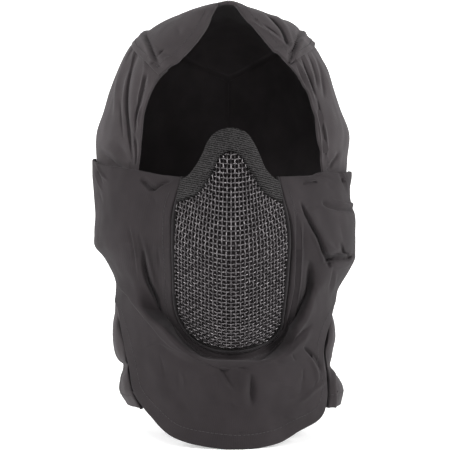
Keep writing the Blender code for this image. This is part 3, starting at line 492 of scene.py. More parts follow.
WRAP_BIG_FOLDS = [
    # the cloth comes close to the crease on its outer side
    (3.4, 7, 5, 0,
     "140,256,0 144.5,268,0.5 149,280,0.9 153,292 157,304 162,315 168,325,0.8 175,334,0.4 184,342,0"),
    (2.6, 4.5, 6, 0,
     "311,290,0 308,302,0.7 304,312 299,322 293,331 286,339,0.9 278,346,0.6 268,351,0.3 256,355,0"),
    # the groove inside the cowl, left: wide above, narrow below
    (-8.5, 1.8, 1.6, None,
     "143,250,0 144.6,259,0.5 146.3,266,0.8 148.6,274,0.95 151.7,283 155,291 158,300,0.9 161.3,311,0.6 "
     "166,321,0.2 170,328,0"),
    (-6, 1.5, 1.3, None,
     "157,298,0 161,310,0.5 166,320.5 171,329.3 176.3,337 182.3,343.4 188.5,348.6,0.9 195.5,352.8,0.7 "
     "203,356,0.4 212,358,0.15 222,359,0"),
    # two thin crests of the cowl's lip down the left
    (1.3, 1.5, 6, 0.5,
     "116,279,0.3 121,286,0.9 128,294 135,303 142,312 150,321.5 155.5,329 162,337 170,344.3,0.9 "
     "179,350,0.5 187,354,0"),
    (1.8, 2.2, 1.6, 0,
     "168,331,0 174,339,0.6 180.5,346 187.5,351 196,356.3 205,360.3 214,361.7 230,362.6 244,363 "
     "256,362.5,0.7 268,361,0.4 278,358,0"),
    (0.6, 1.1, 2.4, 0, "143,348,0 149,343.5 158,342.7 166,346.5 173,350,0.8 184,353,0"),
    # the hollow under the lip, and its dark crease
    (-1.6, 5, 5, 0, "156,338,0 166,350,0.7 178,358 192,365 210,368 226,370,0.8 240,372,0"),
    (-2, 1.5, 2, 0, "208,364.3,0 218,365.4,0.6 229,366.3 238,367.6 247,369.5,0.3 254,371,0"),
    # crease of the lip under the mask's right corner
    (-2.1, 1.4, 1.7, 0,
     "291,330,0.3 284.5,339,0.8 278,345.5 271.5,351 265,355.7 258,359,0.8 250,360.5,0.3 243,361,0"),
    # the wrap's rolled inner edge on the right: two crests with a line between, and the valley outside
    (1.7, 2.4, 2, 0,
     "291,196,0 293.3,222,0.5 294,245 293.6,262 292.3,280 290,300 287,314 284.6,324 281.4,331.5 "
     "277,337.6,0.9 270,342.4,0.7 262,346.2,0.5 252,349.6,0.3 240,351,0"),
    (-1.9, 1.1, 1.1, 0,
     "298,216,0 298.6,230,0.8 298.6,245 298,258 296.7,272 295.2,286 293,300 290.3,313,0.9 287.5,323,0.6 "
     "284,332,0"),
    (1.6, 1.2, 1.8, 0,
     "301,220,0 301,240,0.7 300.6,258,0.9 299.7,270 298.2,285 296,300 293.3,313 290,324,0.7 286,332,0"),
    (-0.9, 1.1, 2, 0, "303.4,218,0 304,235 304,250,0.7 304,262,0"),
    (-8.5, 2.2, 2.9, None,
     "309,260,0 309,269,0.5 308.6,278,0.9 307.6,287 305.4,296 302.7,305 299.6,313,0.75 295.8,321,0.45 "
     "291.5,329,0.2 286,336,0"),
    # pouch on the right cheek: its overlapping edge, its hollow underside, the fold above it
    (-5.5, 0.9, 1.3, None,
     "300,201,0 302,207,0.5 304.3,213.5,0.9 308,221 312.3,229.5 317,238 320.3,247 323.6,255 327,262 "
     "330,267,0.4"),
    (1.8, 1.2, 8, 0.5,
     "303.5,204,0 307,212,0.6 311,220 315.3,228.5 320,237 323.3,246 326.5,253,0.8 330,259,0.3"),
    (0.8, 1, 1, 0, "308,227,0 312.6,236.5 316.3,244.5 320,253 323.6,261 326.6,267,0"),
    (3, 6, 2, -1.6, "322,254,0 330,256,0.7 338,256.5 346,255.5,0.8 353,251,0"),
    (-14, 1.5, 4.6, None,
     "323,262,0 328,260.3,0.9 335,259.6 341,259.6 347,258.6,0.9 352,255.5,0.5 356,251,0"),
    (-5, 1.4, 1.8, None, "339.5,242,0 341.3,247.5,0.8 343.3,253 346,258,0.6"),
    (1.4, 6, 4, 0, "322,240,0 329,247,0.8 335,250 338.5,247,0.5"),
    (1, 1.3, 4, 0, "328,268,0 335,266.5,0.6 342,267.5 348,265,0.6 352,261,0"),
    (-3.6, 2.4, 1.4, 0,
     "322,200,0 326.5,203,0.8 331,205 337,206.7,0.9 344,208.3,0.8 351,209,0.6 356,209,0"),
    (1.5, 2.4, 1.3, -0.5, "330,198,0 337,201,0.6 344,203.5 350,204.6 354,205,0.5"),
    (-0.7, 1.1, 1.6, 0, "302.5,209.5,0 309,207.6 315,206.6 321,205,0"),
    (-1, 3, 4, 0, "341,222,0 343,230 344,237,0.8 344,244,0"),
    # dents of the bib
    (-5, 3.2, 3.2, None, "251,373,0 251,382,0.7 251,391 251,399,0.7 251,408,0"),
    (-1.9, 1.3, 5, 0, "218,365,0.2 222.5,372 227,379 232,386.5,0.7 237,393,0"),
    (1.1, 9, 9, 0, "184,374,0 198,383 211,393,0.8 222,404,0"),
    (-2.8, 1, 1.9, 0, "303,346,0 308,351,0.9 313,356 317.6,362 320.4,368,0.6 321,374,0"),
    (1.1, 2, 1.6, 0, "308,356,0 313,363 316.4,371 317,379,0.8 315,386,0"),
    (-2.6, 3.6, 1.2, 0, "312,324,0 306,330.5,0.8 300,336.5 293,344,0.9 286.5,351,0.4 280,355,0"),
    (1.4, 1.2, 4.2, 0, "311.5,328,0 304.5,337.5 297.5,344.5 290,352 282,357.5,0.4 275,360,0"),
    (1.1, 3.2, 3, 0, "277,361,0 285,360.5 291,359 295.5,355,0"),
    (1.2, 1.8, 2.8, 0, "327,379,0.2 319,386 310,393.5 301,401.5,0.8 293,407,0"),
    (-1.4, 4, 4, 0, "302,377,0 303.5,385 301.5,393,0.7 297,399,0"),
    (0.9, 7, 7, 0, "146,348,0 152,368 162,392 178,416,0"),
    (-0.8, 7, 7, 0, "170,386,0 182,404 196,424,0.6 208,440,0"),
    (1, 6, 6, 0, "276,420,0 292,414 306,411,0.6 318,408,0"),
    (-0.8, 5, 5, 0, "264,424,0 280,428 296,424,0.5 308,419,0"),
]
WRAP_SMALL_FOLDS = [
    # corner and notch of the left top edge
    (1.2, 1.1, 1.3, 0, "96.5,163,0.5 99,169.5 103,175.5 108.5,181.5,0"),
    (-1.4, 1, 1, 0, "94.6,166,0.4 97,172 100,178.5 103,185,0"),
    (0.9, 0.9, 0.9, 0, "94.2,172,0.5 97,179.5 100,186.5,0.8 103,193,0"),
    (-0.6, 1.2, 1.2, 0, "98,189,0 100.5,197 103.5,204,0"),
    (-3.4, 0.9, 2.8, 0, "140,178.5,0 143.5,182,0.9 148,186 152,189.2 154.5,190,0.3"),
    (-3.2, 2.4, 0.9, 0, "171,180.5,0.1 166,182 161.5,184.2 157,187,0.9 153,189.7,0.8"),
    (0.8, 0.9, 0.9, 0, "140.5,182.5,0 144.5,186.5 149,190.4,0.7 153,193,0"),
    (0.7, 1, 1.4, 0, "168,184.3,0 163,186.3 158.5,189 154,192,0"),
    (-0.5, 1.6, 1.6, 0, "150,192,0 154,199 157,207,0"),
    # pleats of the left cheek
    (-0.9, 1, 1, 0, "127.5,224,0 129.3,232 131.5,241 133.4,250 134.9,262,0.7 136.5,276,0"),
    (0.8, 1, 1.1, 0, "130,226,0 132.3,235 134.3,245 136,256,0.7 138,270,0.5 140,284,0"),
    (-0.8, 1.1, 1.2, 0, "138,230,0 140,239 142.3,248 144.6,257,0.6 146,264,0"),
    (0.8, 1.2, 1.2, 0, "143.5,236,0 146,247,0.7 148.8,257 151,267 154,278,0.6 157.5,289,0"),
    (-0.8, 0.8, 0.8, 0, "158,246,0 158.4,254 158.8,262 159.5,271,0"),
    (-0.4, 1.2, 1.2, 0, "152,240,0 151.5,249 150.5,258,0"),
    (0.4, 5, 5, 0, "108,172,0 110,190 113,210,0.6 116,230,0"),
    (-0.4, 4, 4, 0, "117,240,0 119,250 121,262,0"),
    # folds and creases of the right cheek's top
    (0.9, 1, 1.6, 0, "302,177.5,0.4 309,177.6 318,177.6 326,179.2,0.8 333,181,0"),
    (-1.3, 1.7, 1, 0, "305,175.5,0.3 313,175.2 321,175.6 328,177.3,0.8 334,180,0"),
    (1.4, 1, 1.2, 0, "341,170.5,0.6 343.5,176 346,182 348,189,0.6 348.5,196,0"),
    (-1.1, 1, 1, 0, "345,171,0.4 347,177 348.6,184,0.8 349,191,0"),
    (-0.9, 1, 1.4, 0, "338.5,171,0.2 341.5,178 344.5,185,0.8 346,192,0"),
    (-0.5, 2, 2, 0, "326,182,0 330,186 334,190,0"),
    (0.6, 1, 1, 0, "294,210.3,0 298,210 302,210.5,0"),
    (-0.9, 1, 1.4, 0, "334,266,0 333,275 331,284 329.5,294,0.4 329,304,0"),
    (0.7, 1.2, 1.2, 0, "336.5,270,0 335.5,279 333.5,288,0.6 332,297,0"),
    (0.5, 3, 3, 0, "313,276,0 317,292 319,308,0.8 318,324,0"),
    # small creases of the bib
    (-1.1, 1.1, 1.1, 0, "292,353,0 294,357 295.5,361,0"),
    (-0.9, 1.1, 1.1, 0, "304,367,0 303.8,372 303.6,378 302.5,383,0"),
    (-0.9, 1.1, 1.1, 0, "317,379,0 315.6,384 314,388.5,0"),
    (0.5, 1.2, 1.2, 0, "182,372,0 184,380 183.5,390,0"),
    (-0.5, 1.2, 1.2, 0, "178,368,0 178.6,380 179,393,0"),
    (-0.5, 1.2, 1.2, 0, "159,352,0 163,366 165,380,0"),
    (0.5, 1.5, 1.5, 0, "216,376,0 218,384 219,392,0"),
    (0.5, 1.2, 1.2, 0, "270,381,0 280,379.5 290,381,0"),
    (-0.5, 1.2, 1.2, 0, "276,389,0 285,387.6 294,389,0"),
    (-0.6, 1.3, 1.3, 0, "286,397,0 293,396 300,394,0"),
    (0.4, 1.2, 1.2, 0, "258,365,0 272,363.5 288,366,0"),
    (-0.5, 1, 1, 0, "204,410,0 205,418 206,427,0"),
    (0.5, 2.2, 2.2, 0, "212,406,0 213.5,418 213,430,0"),
    (-0.5, 1.2, 1.2, 0, "281,417,0 285,417.5 289,417,0"),
    (0.4, 1.6, 1.6, 0, "228,398,0 233,404 240,408,0"),
]
MILLIMETRE = 0.001
# Points of a fold's smooth line for each one written, and its reach in widths
FOLD_STEPS = 5
FOLD_REACH = 3
# Ridges are round and grooves sharp
RIDGE_POWER = 2.0
GROOVE_POWER = 1.4
# Folds fade out over this depth, and end where the cloth turns away from the viewer
FADE_DEPTH = 0.03
FADE_END = 0.035

# How far the wrap's top edge dips below a level line, in front view units: place, dip; and how far
# down the cloth gives way
EDGE_DIPS = [
    (92, 0), (120, 0), (141, -0.6), (147, 0.5), (154, 2.6), (163, 5.6), (170, 5), (179, 3.8), (190, 3),
    (262, 3), (282, 3.6), (299, 4), (304, 1.6), (310, -1.6), (318, -3.4), (326, -3.6), (336, -1.5),
    (345, 0), (360, 0),
]
EDGE_DROP = WRAP_TOP_DROP + 0.001
DIP_REACH = 11

# A finer unevenness is laid over the coarse one: how many times finer, and its share
ROUGH_FINER = 2.3
ROUGH_SHARE = 0.5


def front(points):
    """Place of points in the front view: across and down, in its units."""
    scale = UNIT * (points[..., 1] - EYE.y) / PLANE
    across = MIDDLE + (points[..., 0] - EYE.x) / scale
    down = MIDDLE - (points[..., 2] - EYE.z) / scale
    return np.stack([across, down], axis=-1)


def fold_line(text):
    """The smooth line of a fold: across, down and weight."""
    points = [[float(value) for value in word.split(",")] for word in text.split()]
    points = [point if len(point) == 3 else [*point, 1.0] for point in points]
    line = path(points, FOLD_STEPS * len(points))
    line[:, 2] = np.clip(line[:, 2], 0, 1)
    return line


def beside_line(at, line):
    """Signed distance of points to a line (plus is the viewer's right where the line runs down), the
    line's weight there, and the direction across it in the front view."""
    best = np.full(len(at), np.inf)
    signed = np.zeros(len(at))
    weight = np.zeros(len(at))
    across = np.zeros((len(at), 2))
    for a, b in zip(line[:-1], line[1:]):
        step = b[:2] - a[:2]
        size = step @ step
        off = at - a[:2]
        t = np.clip(off @ step / size, 0, 1)
        gap = off - t[:, None] * step
        square = np.sum(gap**2, axis=1)
        near = square < best
        side = np.sign(off[near, 0] * step[1] - off[near, 1] * step[0])
        best[near] = square[near]
        signed[near] = side * np.sqrt(square[near])
        weight[near] = a[2] + (b[2] - a[2]) * t[near]
        across[near] = np.array([step[1], -step[0]]) / math.sqrt(size)
    return signed, weight, across


def fold(grid, rows):
    """The grid with the folds raised along its normals, on the half that faces the viewer."""
    at = front(grid).reshape(-1, 2)
    n = normals(grid).reshape(-1, 3)
    facing = ramp((FADE_END - grid[..., 1].reshape(-1)) / FADE_DEPTH)
    move = np.zeros_like(n)
    for height, before, after, lean, text in rows:
        line = fold_line(text)
        reach = FOLD_REACH * max(before, after)
        low, high = line[:, :2].min(axis=0) - reach, line[:, :2].max(axis=0) + reach
        near = np.nonzero(np.all((at > low) & (at < high), axis=1) & (facing > 0))[0]
        if len(near) == 0:
            continue
        signed, weight, across = beside_line(at[near], line)
        power = RIDGE_POWER if height > 0 else GROOVE_POWER
        far = np.abs(signed / np.where(signed < 0, before, after))
        value = MILLIMETRE * (weight * np.exp(-(far**power)) * facing[near])[:, None]
        move[near] += height * value * (np.array([[0, -1.0, 0]]) if lean is None else n[near])
        if lean:
            over = np.stack([-across[:, 0], 0 * signed, across[:, 1]], axis=1)
            over -= n[near] * np.sum(over * n[near], axis=1)[:, None]
            move[near] += lean * value * over
    return grid + move.reshape(grid.shape)


def dip_edge(grid):
    """The wrap's top edge with its dips: the cloth below the edge gives way over DIP_REACH."""
    at = front(grid)
    place, dip = np.array(EDGE_DIPS).T
    edge = MIDDLE + (EDGE_DROP + EYE.z) * PLANE / UNIT / (grid[..., 1] - EYE.y)
    below = at[..., 1] - edge
    near = np.exp(-np.maximum(below, 0) / DIP_REACH) * (grid[..., 1] < 0)
    shift = np.interp(at[..., 0], place, dip) * near * UNIT * (grid[..., 1] - EYE.y) / PLANE
    return grid - shift[..., None] * np.array([0, 0, 1.0])


def roughen(grid, height, size, stretch=(1, 1, 1), seed=0.0):
    """Small unevenness of worn cloth."""
    flat = grid.reshape(-1, 3) / (np.array(stretch) * size) + seed
    lift = [noise.noise(p) + ROUGH_SHARE * noise.noise(p * ROUGH_FINER) for p in map(Vector, flat)]
    return grid + normals(grid) * (height * np.array(lift)).reshape(grid.shape[:2])[..., None]


# Building blocks

# Rolled edges: radius, steps round, width of the hem, where its rows lie, and how much closer to the
# cloth it comes at its end. The hem that runs round a border is wider.
EDGE_RADIUS = 0.0009
EDGE_STEPS = 6
HEM_WIDTH = 0.0055
HEM_ROWS = (0.35, 0.7, 1.0)
HEM_CLOSING = 0.35
BORDER_HEM = 2 * HEM_WIDTH
# Points closer than this are one
MERGE = 2e-6
# A line this close to the direction of view takes its sides from another axis
STEEP = 0.05


def add_grid(bm, grid, uv_offset=(0.0, 0.0)):
    """Quads through a grid of points, with places in metres as UV for the weave. The hems of a cloth
    have an offset, so that they don't share its places."""
    layer = bm.loops.layers.uv.verify()
    u = lengths(grid.transpose(1, 0, 2)).mean(axis=0) + uv_offset[0]
    v = lengths(grid).mean(axis=0) + uv_offset[1]
    points = [[bm.verts.new(p) for p in line] for line in grid]
    for i in range(len(points) - 1):
        for j in range(len(points[0]) - 1):
            corners = ((i, j), (i + 1, j), (i + 1, j + 1), (i, j + 1))
            face = bm.faces.new([points[a][b] for a, b in corners])
            for loop, (a, b) in zip(face.loops, corners):
                loop[layer].uv = (u[a], v[b])


def add_hem(bm, line, inside, normal, uv_offset=(0.0, 0.0), radius=EDGE_RADIUS, width=HEM_WIDTH):
    """A rolled edge: from a line of the cloth's edge round by half a turn, and back under the cloth.
    inside is the line of points next to it in the cloth."""
    out = unit(np.cross(unit(np.gradient(line, axis=0)), normal))
    out = out * np.sign(np.sum(out * (line - inside)))
    rows = [line]
    for k in range(1, EDGE_STEPS + 1):
        a = math.pi * k / EDGE_STEPS
        rows.append(line + out * radius * math.sin(a) - normal * radius * (1 - math.cos(a)))
    for share in HEM_ROWS:
        rows.append(line - out * width * share - normal * 2 * radius * (1 - HEM_CLOSING * share))
    add_grid(bm, np.stack(rows, axis=1), uv_offset)


def skin_rings(bm, rings):
    """A closed surface through rings of vertices."""
    sides = len(rings[0])
    for a, b in zip(rings[:-1], rings[1:]):
        for k in range(sides):
            bm.faces.new((a[k], a[(k + 1) % sides], b[(k + 1) % sides], b[k]))
    bm.faces.new(rings[0][::-1])
    bm.faces.new(rings[-1])


def tube(bm, line, radius, sides):
    """A tube along a line of points. radius is a number or one for each point."""
    tangent = unit(np.gradient(line, axis=0))
    side = np.cross(tangent, [0.0, -1.0, 0.0])
    flat = np.linalg.norm(side, axis=1) < STEEP
    side[flat] = np.cross(tangent[flat], [1.0, 0.0, 0.0])
    side = unit(side)
    up = np.cross(side, tangent)
    radius = np.broadcast_to(radius, len(line))
    angles = [2 * math.pi * k / sides for k in range(sides)]
    rings = []
    for p, s, u, r in zip(line, side, up, radius):
        rings.append([bm.verts.new(p + r * (math.cos(a) * s + math.sin(a) * u)) for a in angles])
    skin_rings(bm, rings)


def finish_mesh(name, bm, look, merge=MERGE):
    if merge:
        bmesh.ops.remove_doubles(bm, verts=bm.verts, dist=merge)
    bmesh.ops.recalc_face_normals(bm, faces=bm.faces)
    mesh = bpy.data.meshes.new(name)
    bm.to_mesh(mesh)
    bm.free()
    mesh.shade_smooth()
    made = bpy.data.objects.new(name, mesh)
    mesh.materials.append(look)
    bpy.context.scene.collection.objects.link(made)
    return made


# Stitches

STITCH_PITCH = 0.0030
STITCH_LENGTH = 0.0021
STITCH_RADIUS = 0.00021
STITCH_SIDES = 5
# Places along a stitch, and its height there in radii: its ends are in the cloth
STITCH_PLACES = (0, 0.25, 0.75, 1)
STITCH_HEIGHTS = (-0.7, 0.7, 0.7, -0.7)
# Distance of the stitches from the edge: at the face, on the seam's lap, along the wrap's U, at borders
FACE_STITCHES = 0.0062
LAP_STITCHES = 0.0035
WRAP_STITCHES = 0.0052
BORDER_STITCHES = 1.6 * HEM_WIDTH


def sew(bm, grid, distance, ends=(0, None)):
    """Single stitches over the cloth, each bent into it at both ends. They keep a distance from the
    edge where the grid's second axis starts, and go from the first to the second of ends along it."""
    line = [[np.interp(distance, far, axis) for axis in row.T] for far, row in zip(lengths(grid), grid)]
    line = np.array(line)[slice(*ends)]
    at = lengths(line)
    out = unit(line * np.array([1.0, 1.0, 0.0]))
    lift = np.array(STITCH_HEIGHTS)[:, None] * STITCH_RADIUS
    for start in np.arange(STITCH_PITCH, at[-1] - STITCH_PITCH, STITCH_PITCH):
        places = start + STITCH_LENGTH * np.array(STITCH_PLACES)
        p, o = (np.stack([np.interp(places, at, axis) for axis in a.T], axis=1) for a in (line, out))
        tube(bm, p + o * lift, STITCH_RADIUS, STITCH_SIDES)


# Hood

CROWN_COLUMNS = 250
CAP_FINE = 10
BODY_FINE = 84
LAP_FINE = 10
SIDE_COLUMNS = 250
SIDE_FINE = 240
# Columns stand closer together towards the face, where the folds are, and rows towards the peak
COLUMN_POWER = 1.7
CAP_POWER = 1.6
BODY_POWER = 1.5
# The lap has risen by this share of its ramp where the seam is
LAP_START = 0.4
# Rows under the peak without stitches
PEAK_ROWS = 6
# Seams that are pressed in: depth behind the head and at the ears, and width
BACK_SEAM = 0.0012
EAR_SEAM = 0.0011
SEAM_WIDTH = 0.0016


def crown_surface():
    around = np.linspace(0, 1, CROWN_COLUMNS + 1) ** COLUMN_POWER
    peak = PEAK_DROP / HOOD_DROP
    halves = []
    for side in (LEFT, RIGHT):
        seam = seam_share(side, around)
        cap = [peak * (k / CAP_FINE) ** CAP_POWER + 0 * seam for k in range(CAP_FINE + 1)]
        body = [peak + (seam - peak) * (k / BODY_FINE) ** BODY_POWER for k in range(1, BODY_FINE + 1)]
        lap = [seam + SEAM_LAP / HOOD_DROP * k / LAP_FINE for k in range(1, LAP_FINE + 1)]
        share = np.stack(cap + body + lap, axis=1)
        edge = opening_turn(side, share) * (share > peak + EPSILON)
        grid = hood_points(side, edge + (math.pi - edge) * around[:, None], share)
        past = (share - seam[:, None]) * HOOD_DROP / SEAM_RISE
        lift = (CLOTH_WALL + SEAM_GAP) * ramp(past + LAP_START)
        halves.append((grid, lift) if side == LEFT else (grid[::-1], lift[::-1]))
    grid, lift = (np.concatenate([left, right[1:]]) for left, right in zip(*halves))
    return grid + normals(grid) * lift[..., None]


def make_crown(look):
    grid = fold(crown_surface(), CROWN_FOLDS)
    grid = roughen(grid, height=0.0007, size=0.022, seed=3.1)
    normal = normals(grid)
    bm = bmesh.new()
    for half in (grid[: CROWN_COLUMNS + 1], grid[CROWN_COLUMNS:][::-1]):
        sew(bm, half[:, CAP_FINE + PEAK_ROWS :].transpose(1, 0, 2), FACE_STITCHES)
        sew(bm, half[:, ::-1], LAP_STITCHES)
    finish_mesh("crown_stitches", bm, thread_look)
    bm = bmesh.new()
    add_grid(bm, grid)
    # the face edge runs from the left end up over the peak and down to the right end
    line, inside, n = (
        np.concatenate([points[left, CAP_FINE:][::-1], points[right, CAP_FINE + 1 :]])
        for points, left, right in ((grid, 0, -1), (grid, 1, -2), (normal, 0, -1))
    )
    add_hem(bm, line, inside, n, radius=0.0012)
    add_hem(bm, grid[:, -1], grid[:, -2], normal[:, -1], radius=0.0007, width=0.002)
    return finish_mesh("hood_crown", bm, look)


def make_side(side, rows, look):
    around = np.linspace(0, 1, SIDE_COLUMNS + 1)[:, None] ** COLUMN_POWER
    top = seam_share(side, around) + SEAM_TUCK / HOOD_DROP
    share = top + (1 - top) * np.linspace(0, 1, SIDE_FINE + 1)[None, :]
    edge = opening_turn(side, share)
    grid = hood_points(side, edge + (math.pi - edge) * around, share)
    back = grid[-1].copy()
    grid = fold(grid, rows + SKIRT_FOLDS)
    grid = roughen(grid, height=0.0008, size=0.020, stretch=(1, 1, 2.2), seed=7.7)
    # both sides meet in a seam down the middle of the back
    from_seam = (1 - around) * math.pi * HOOD_HALF_WIDTH
    grid = grid - normals(grid) * (BACK_SEAM * bump(from_seam, SEAM_WIDTH))[..., None]
    grid[-1] = back - np.array([0, BACK_SEAM, 0])
    normal = normals(grid)
    bm = bmesh.new()
    sew(bm, grid.transpose(1, 0, 2), FACE_STITCHES, ends=(8, -2))
    sew(bm, grid[:-2, ::-1], BORDER_STITCHES)
    finish_mesh("side_stitches_" + side_name(side), bm, thread_look)
    bm = bmesh.new()
    add_grid(bm, grid, (0.0, 0.4))
    add_hem(bm, grid[0], grid[1], normal[0], (0.5, 0.0))
    add_hem(bm, grid[:, -1], grid[:, -2], normal[:, -1], (0.5, 0.0), width=BORDER_HEM)
    return finish_mesh("hood_side_" + side_name(side), bm, look)


# Face wrap

WRAP_COLUMNS = 520
WRAP_INNER = 70
WRAP_OUTER = 98
# Outer rows stand closer together towards the crest
OUTER_POWER = 1.1
# The wrap's edge stands back from the binding, so that a dark gap shows: how far, its share at the
# mask's top, the share of the mask's height over which it opens, and how far into the cloth it reaches
INNER_PULL = 0.0022
PULL_TOP = 0.35
PULL_OPENS = 0.35
PULL_REACH = 0.007
# The wrap is at the ear where it has turned this far, and no fold comes this close to the seam there
EAR_TURN = 0.995
EAR_CALM = 0.012
BAND_FINE = 150
BAND_DOWN = 46
# The band stands off the hood behind the head, so that no ripple of the hood shows through it
BAND_ROOM = 0.0006
# Level ripples and upright gathers of the band: height, how many, slant. Both die out near the ears,
# and the gathers are lower by this share at the band's top edge.
RIPPLE_HEIGHT = 0.0011
RIPPLES = 9 * math.pi
RIPPLE_SLANT = 3
GATHER_HEIGHT = 0.0009
GATHERS = 31
GATHER_SLANT = 2.5
GATHER_LOSS = 0.5
BAND_CALM = 0.03


def make_wrap(look):
    along = read(STATIONS, "along", np.linspace(0, 1, WRAP_COLUMNS + 1), "count")
    inner = np.linspace(0, 1, WRAP_INNER + 1)
    outer = 1 + np.linspace(0, 1, WRAP_OUTER + 1)[1:] ** OUTER_POWER
    grid = wrap_grid(along, np.concatenate([inner, outer]))
    ear = (np.abs(read(OUTLINE, "turn", along, "along")) > EAR_TURN)[:, None]
    rim = np.linalg.norm(grid - grid[:, -1:], axis=2)
    inward = unit(grid[:, 0:1] - grid[:, 3:4])
    far = np.linalg.norm(grid - grid[:, 0:1], axis=2)[..., None]
    low = ramp((-grid[:, 0:1, 2:] - MASK_TOP_DROP) / (PULL_OPENS * MASK_HEIGHT))
    plain = grid - inward * INNER_PULL * (PULL_TOP + (1 - PULL_TOP) * low) * np.exp(-far / PULL_REACH)
    grid = fold(fold(dip_edge(plain), WRAP_BIG_FOLDS), WRAP_SMALL_FOLDS)
    grid = roughen(grid, height=0.0007, size=0.024, seed=11.3)
    # at the ears the front and the band behind the head meet in a seam
    keep = 1 - ear * (1 - ramp(rim / EAR_CALM))
    grid = plain + (grid - plain) * keep[..., None]
    grid = grid - normals(grid) * (EAR_SEAM * ear * bump(rim, SEAM_WIDTH))[..., None]
    normal = normals(grid)
    free = np.nonzero(~ear[:, 0])[0]
    bm = bmesh.new()
    sew(bm, grid, WRAP_STITCHES, ends=(12, -12))
    sew(bm, grid[free[0] + 4 : free[-1] - 3, ::-1], BORDER_STITCHES)
    finish_mesh("wrap_stitches", bm, thread_look)
    bm = bmesh.new()
    add_grid(bm, grid)
    add_hem(bm, grid[:, 0], grid[:, 1], normal[:, 0], (0, 0.3))
    for i, j in ((0, 1), (-1, -2)):
        add_hem(bm, grid[i], grid[j], normal[i], (0.3, 0.3))
    part = slice(free[0], free[-1] + 1)
    add_hem(bm, grid[part, -1], grid[part, -2], normal[part, -1], (0.6, 0.3), width=BORDER_HEM)
    return finish_mesh("wrap_front", bm, look)


def ear_drops(side):
    """Where the wrap's edge at the ear starts and ends, as drops."""
    ear = OUTLINE["drop"][OUTLINE["turn"] == side]
    return WRAP_TOP_DROP + WRAP_DROP * ear.min(), WRAP_TOP_DROP + WRAP_DROP * ear.max()


def make_band(look):
    around = np.linspace(-1, 1, 2 * BAND_FINE + 1)[:, None]
    down = np.linspace(0, 1, BAND_DOWN + 1)[None, :]
    left_top, left_end = ear_drops(LEFT)
    right_top, right_end = ear_drops(RIGHT)
    back = ramp(1 - np.abs(around))
    top = np.where(around < 0, left_top, right_top) * (1 - back) + NECK_BAND_BACK_DROP * back
    end = np.where(around < 0, left_end, right_end) * (1 - back)
    end = end + (NECK_BAND_BACK_DROP + NECK_BAND_BACK_HEIGHT) * back
    drop = top + (end - top) * down
    share = (CLOTH_WALL + drop) / HOOD_DROP
    turn = math.pi / 2 * (1 - np.abs(around))
    x = np.where(around < 0, LEFT, RIGHT) * wrap_width_at(around, drop) * np.cos(turn)
    reach = HOOD_BACK * read(HOOD, "back", share) + CLOTH_WALL + SEAM_GAP + BAND_ROOM
    grid = np.stack([x, reach * np.sin(turn), -drop], axis=-1)
    rim = turn * HOOD_HALF_WIDTH
    ripple = RIPPLE_HEIGHT * np.sin(RIPPLES * down + RIPPLE_SLANT * around) * np.sin(math.pi * down)
    gather = GATHER_HEIGHT * np.sin(GATHERS * around + GATHER_SLANT * down)
    gather = gather * (1 - GATHER_LOSS * ramp(1 - 2 * down))
    lift = (ripple + gather) * ramp(rim / BAND_CALM) - EAR_SEAM * bump(rim, SEAM_WIDTH)
    grid = grid + normals(grid) * lift[..., None]
    grid = roughen(grid, height=0.0006, size=0.02, seed=5.9)
    normal = normals(grid)
    bm = bmesh.new()
    add_grid(bm, grid, (1.0, 0.0))
    for i, j in ((0, 1), (-1, -2)):
        add_hem(bm, grid[:, i], grid[:, j], normal[:, i], (1.0, 0.5))
    return finish_mesh("wrap_band", bm, look)


# Mask

WIRE_PITCH = 0.0031
WIRE_RADIUS = 0.00043
# Points of a wire between two crossings, and its sides
WIRE_STEPS = 4
WIRE_SIDES = 6
# The weave is laid out from above the mask to below it, in shares of its height, and this far out;
# a wire ends this far outside the mesh's outline, and a piece of wire has at least this many points.
# The wires are counted at this many places down and across.
WEAVE_HEIGHT = (-0.2, 1.3)
WEAVE_WIDTH = 0.05
WIRE_OVERHANG = 0.0006
WIRE_SHORTEST = 3
HEIGHT_PLACES = 1501
WIDTH_PLACES = 501
# Rows rise towards the sides by this share of the mask's bend
ROW_RISE = 0.41
# Columns close up towards the sides to this share of the pitch, over this distance
SIDE_PITCH = 0.62
SIDE_REACH = 0.0115
# Down the mask, as a share of MASK_HEIGHT: pitch of the rows, and how much the columns have closed
# up towards the nose
WIRE_ROWS = table(
    "drop pitch narrow",
    (-0.2, 1, 0.2), (0.1, 1, 0.19), (0.2, 1, 0.165), (0.3, 1, 0.115), (0.42, 1, 0.045),
    (0.5, 0.99, 0.012), (0.6, 0.85, 0), (0.7, 0.805, 0), (0.8, 0.775, 0), (0.9, 0.67, 0), (1, 0.59, 0),
    (1.3, 0.58, 0),
)
# The mesh's rim lies between the wires' ends and the binding; it is coloured near black, painted shade
# along the mesh's edge
RIM_OFFSET = 0.0006
RIM_RADIUS = 0.0006
RIM_SIDES = 10
BORDER_POINTS = 420
# The binding's thickness ripples: height, and the wave's turn from one point to the next
BINDING_SIDES = 12
BINDING_RIPPLE = 0.00004
BINDING_TURN = 1.3
# The pad: points along it and round it, how square its section is across and in thickness, and the
# rows between its edges from which its direction is read
PAD_POINTS = 161
PAD_SIDES = 28
PAD_WIDE_POWER = 0.7
PAD_THICK_POWER = 0.6
PAD_SPAN = 9


def inside_mesh(x, drop, margin):
    """Where points of the front view lie inside the mesh's outline, widened by margin."""
    share = (drop - MASK_TOP_DROP) / MASK_HEIGHT
    left = -MASK_HALF_WIDTH * read(MESH, "left", share) - margin
    right = MASK_HALF_WIDTH * read(MESH, "right", share) + margin
    low, high = -margin / MASK_HEIGHT, MESH["drop"][-1] + margin / MASK_HEIGHT
    return (x > left) & (x < right) & (share > low) & (share < high)


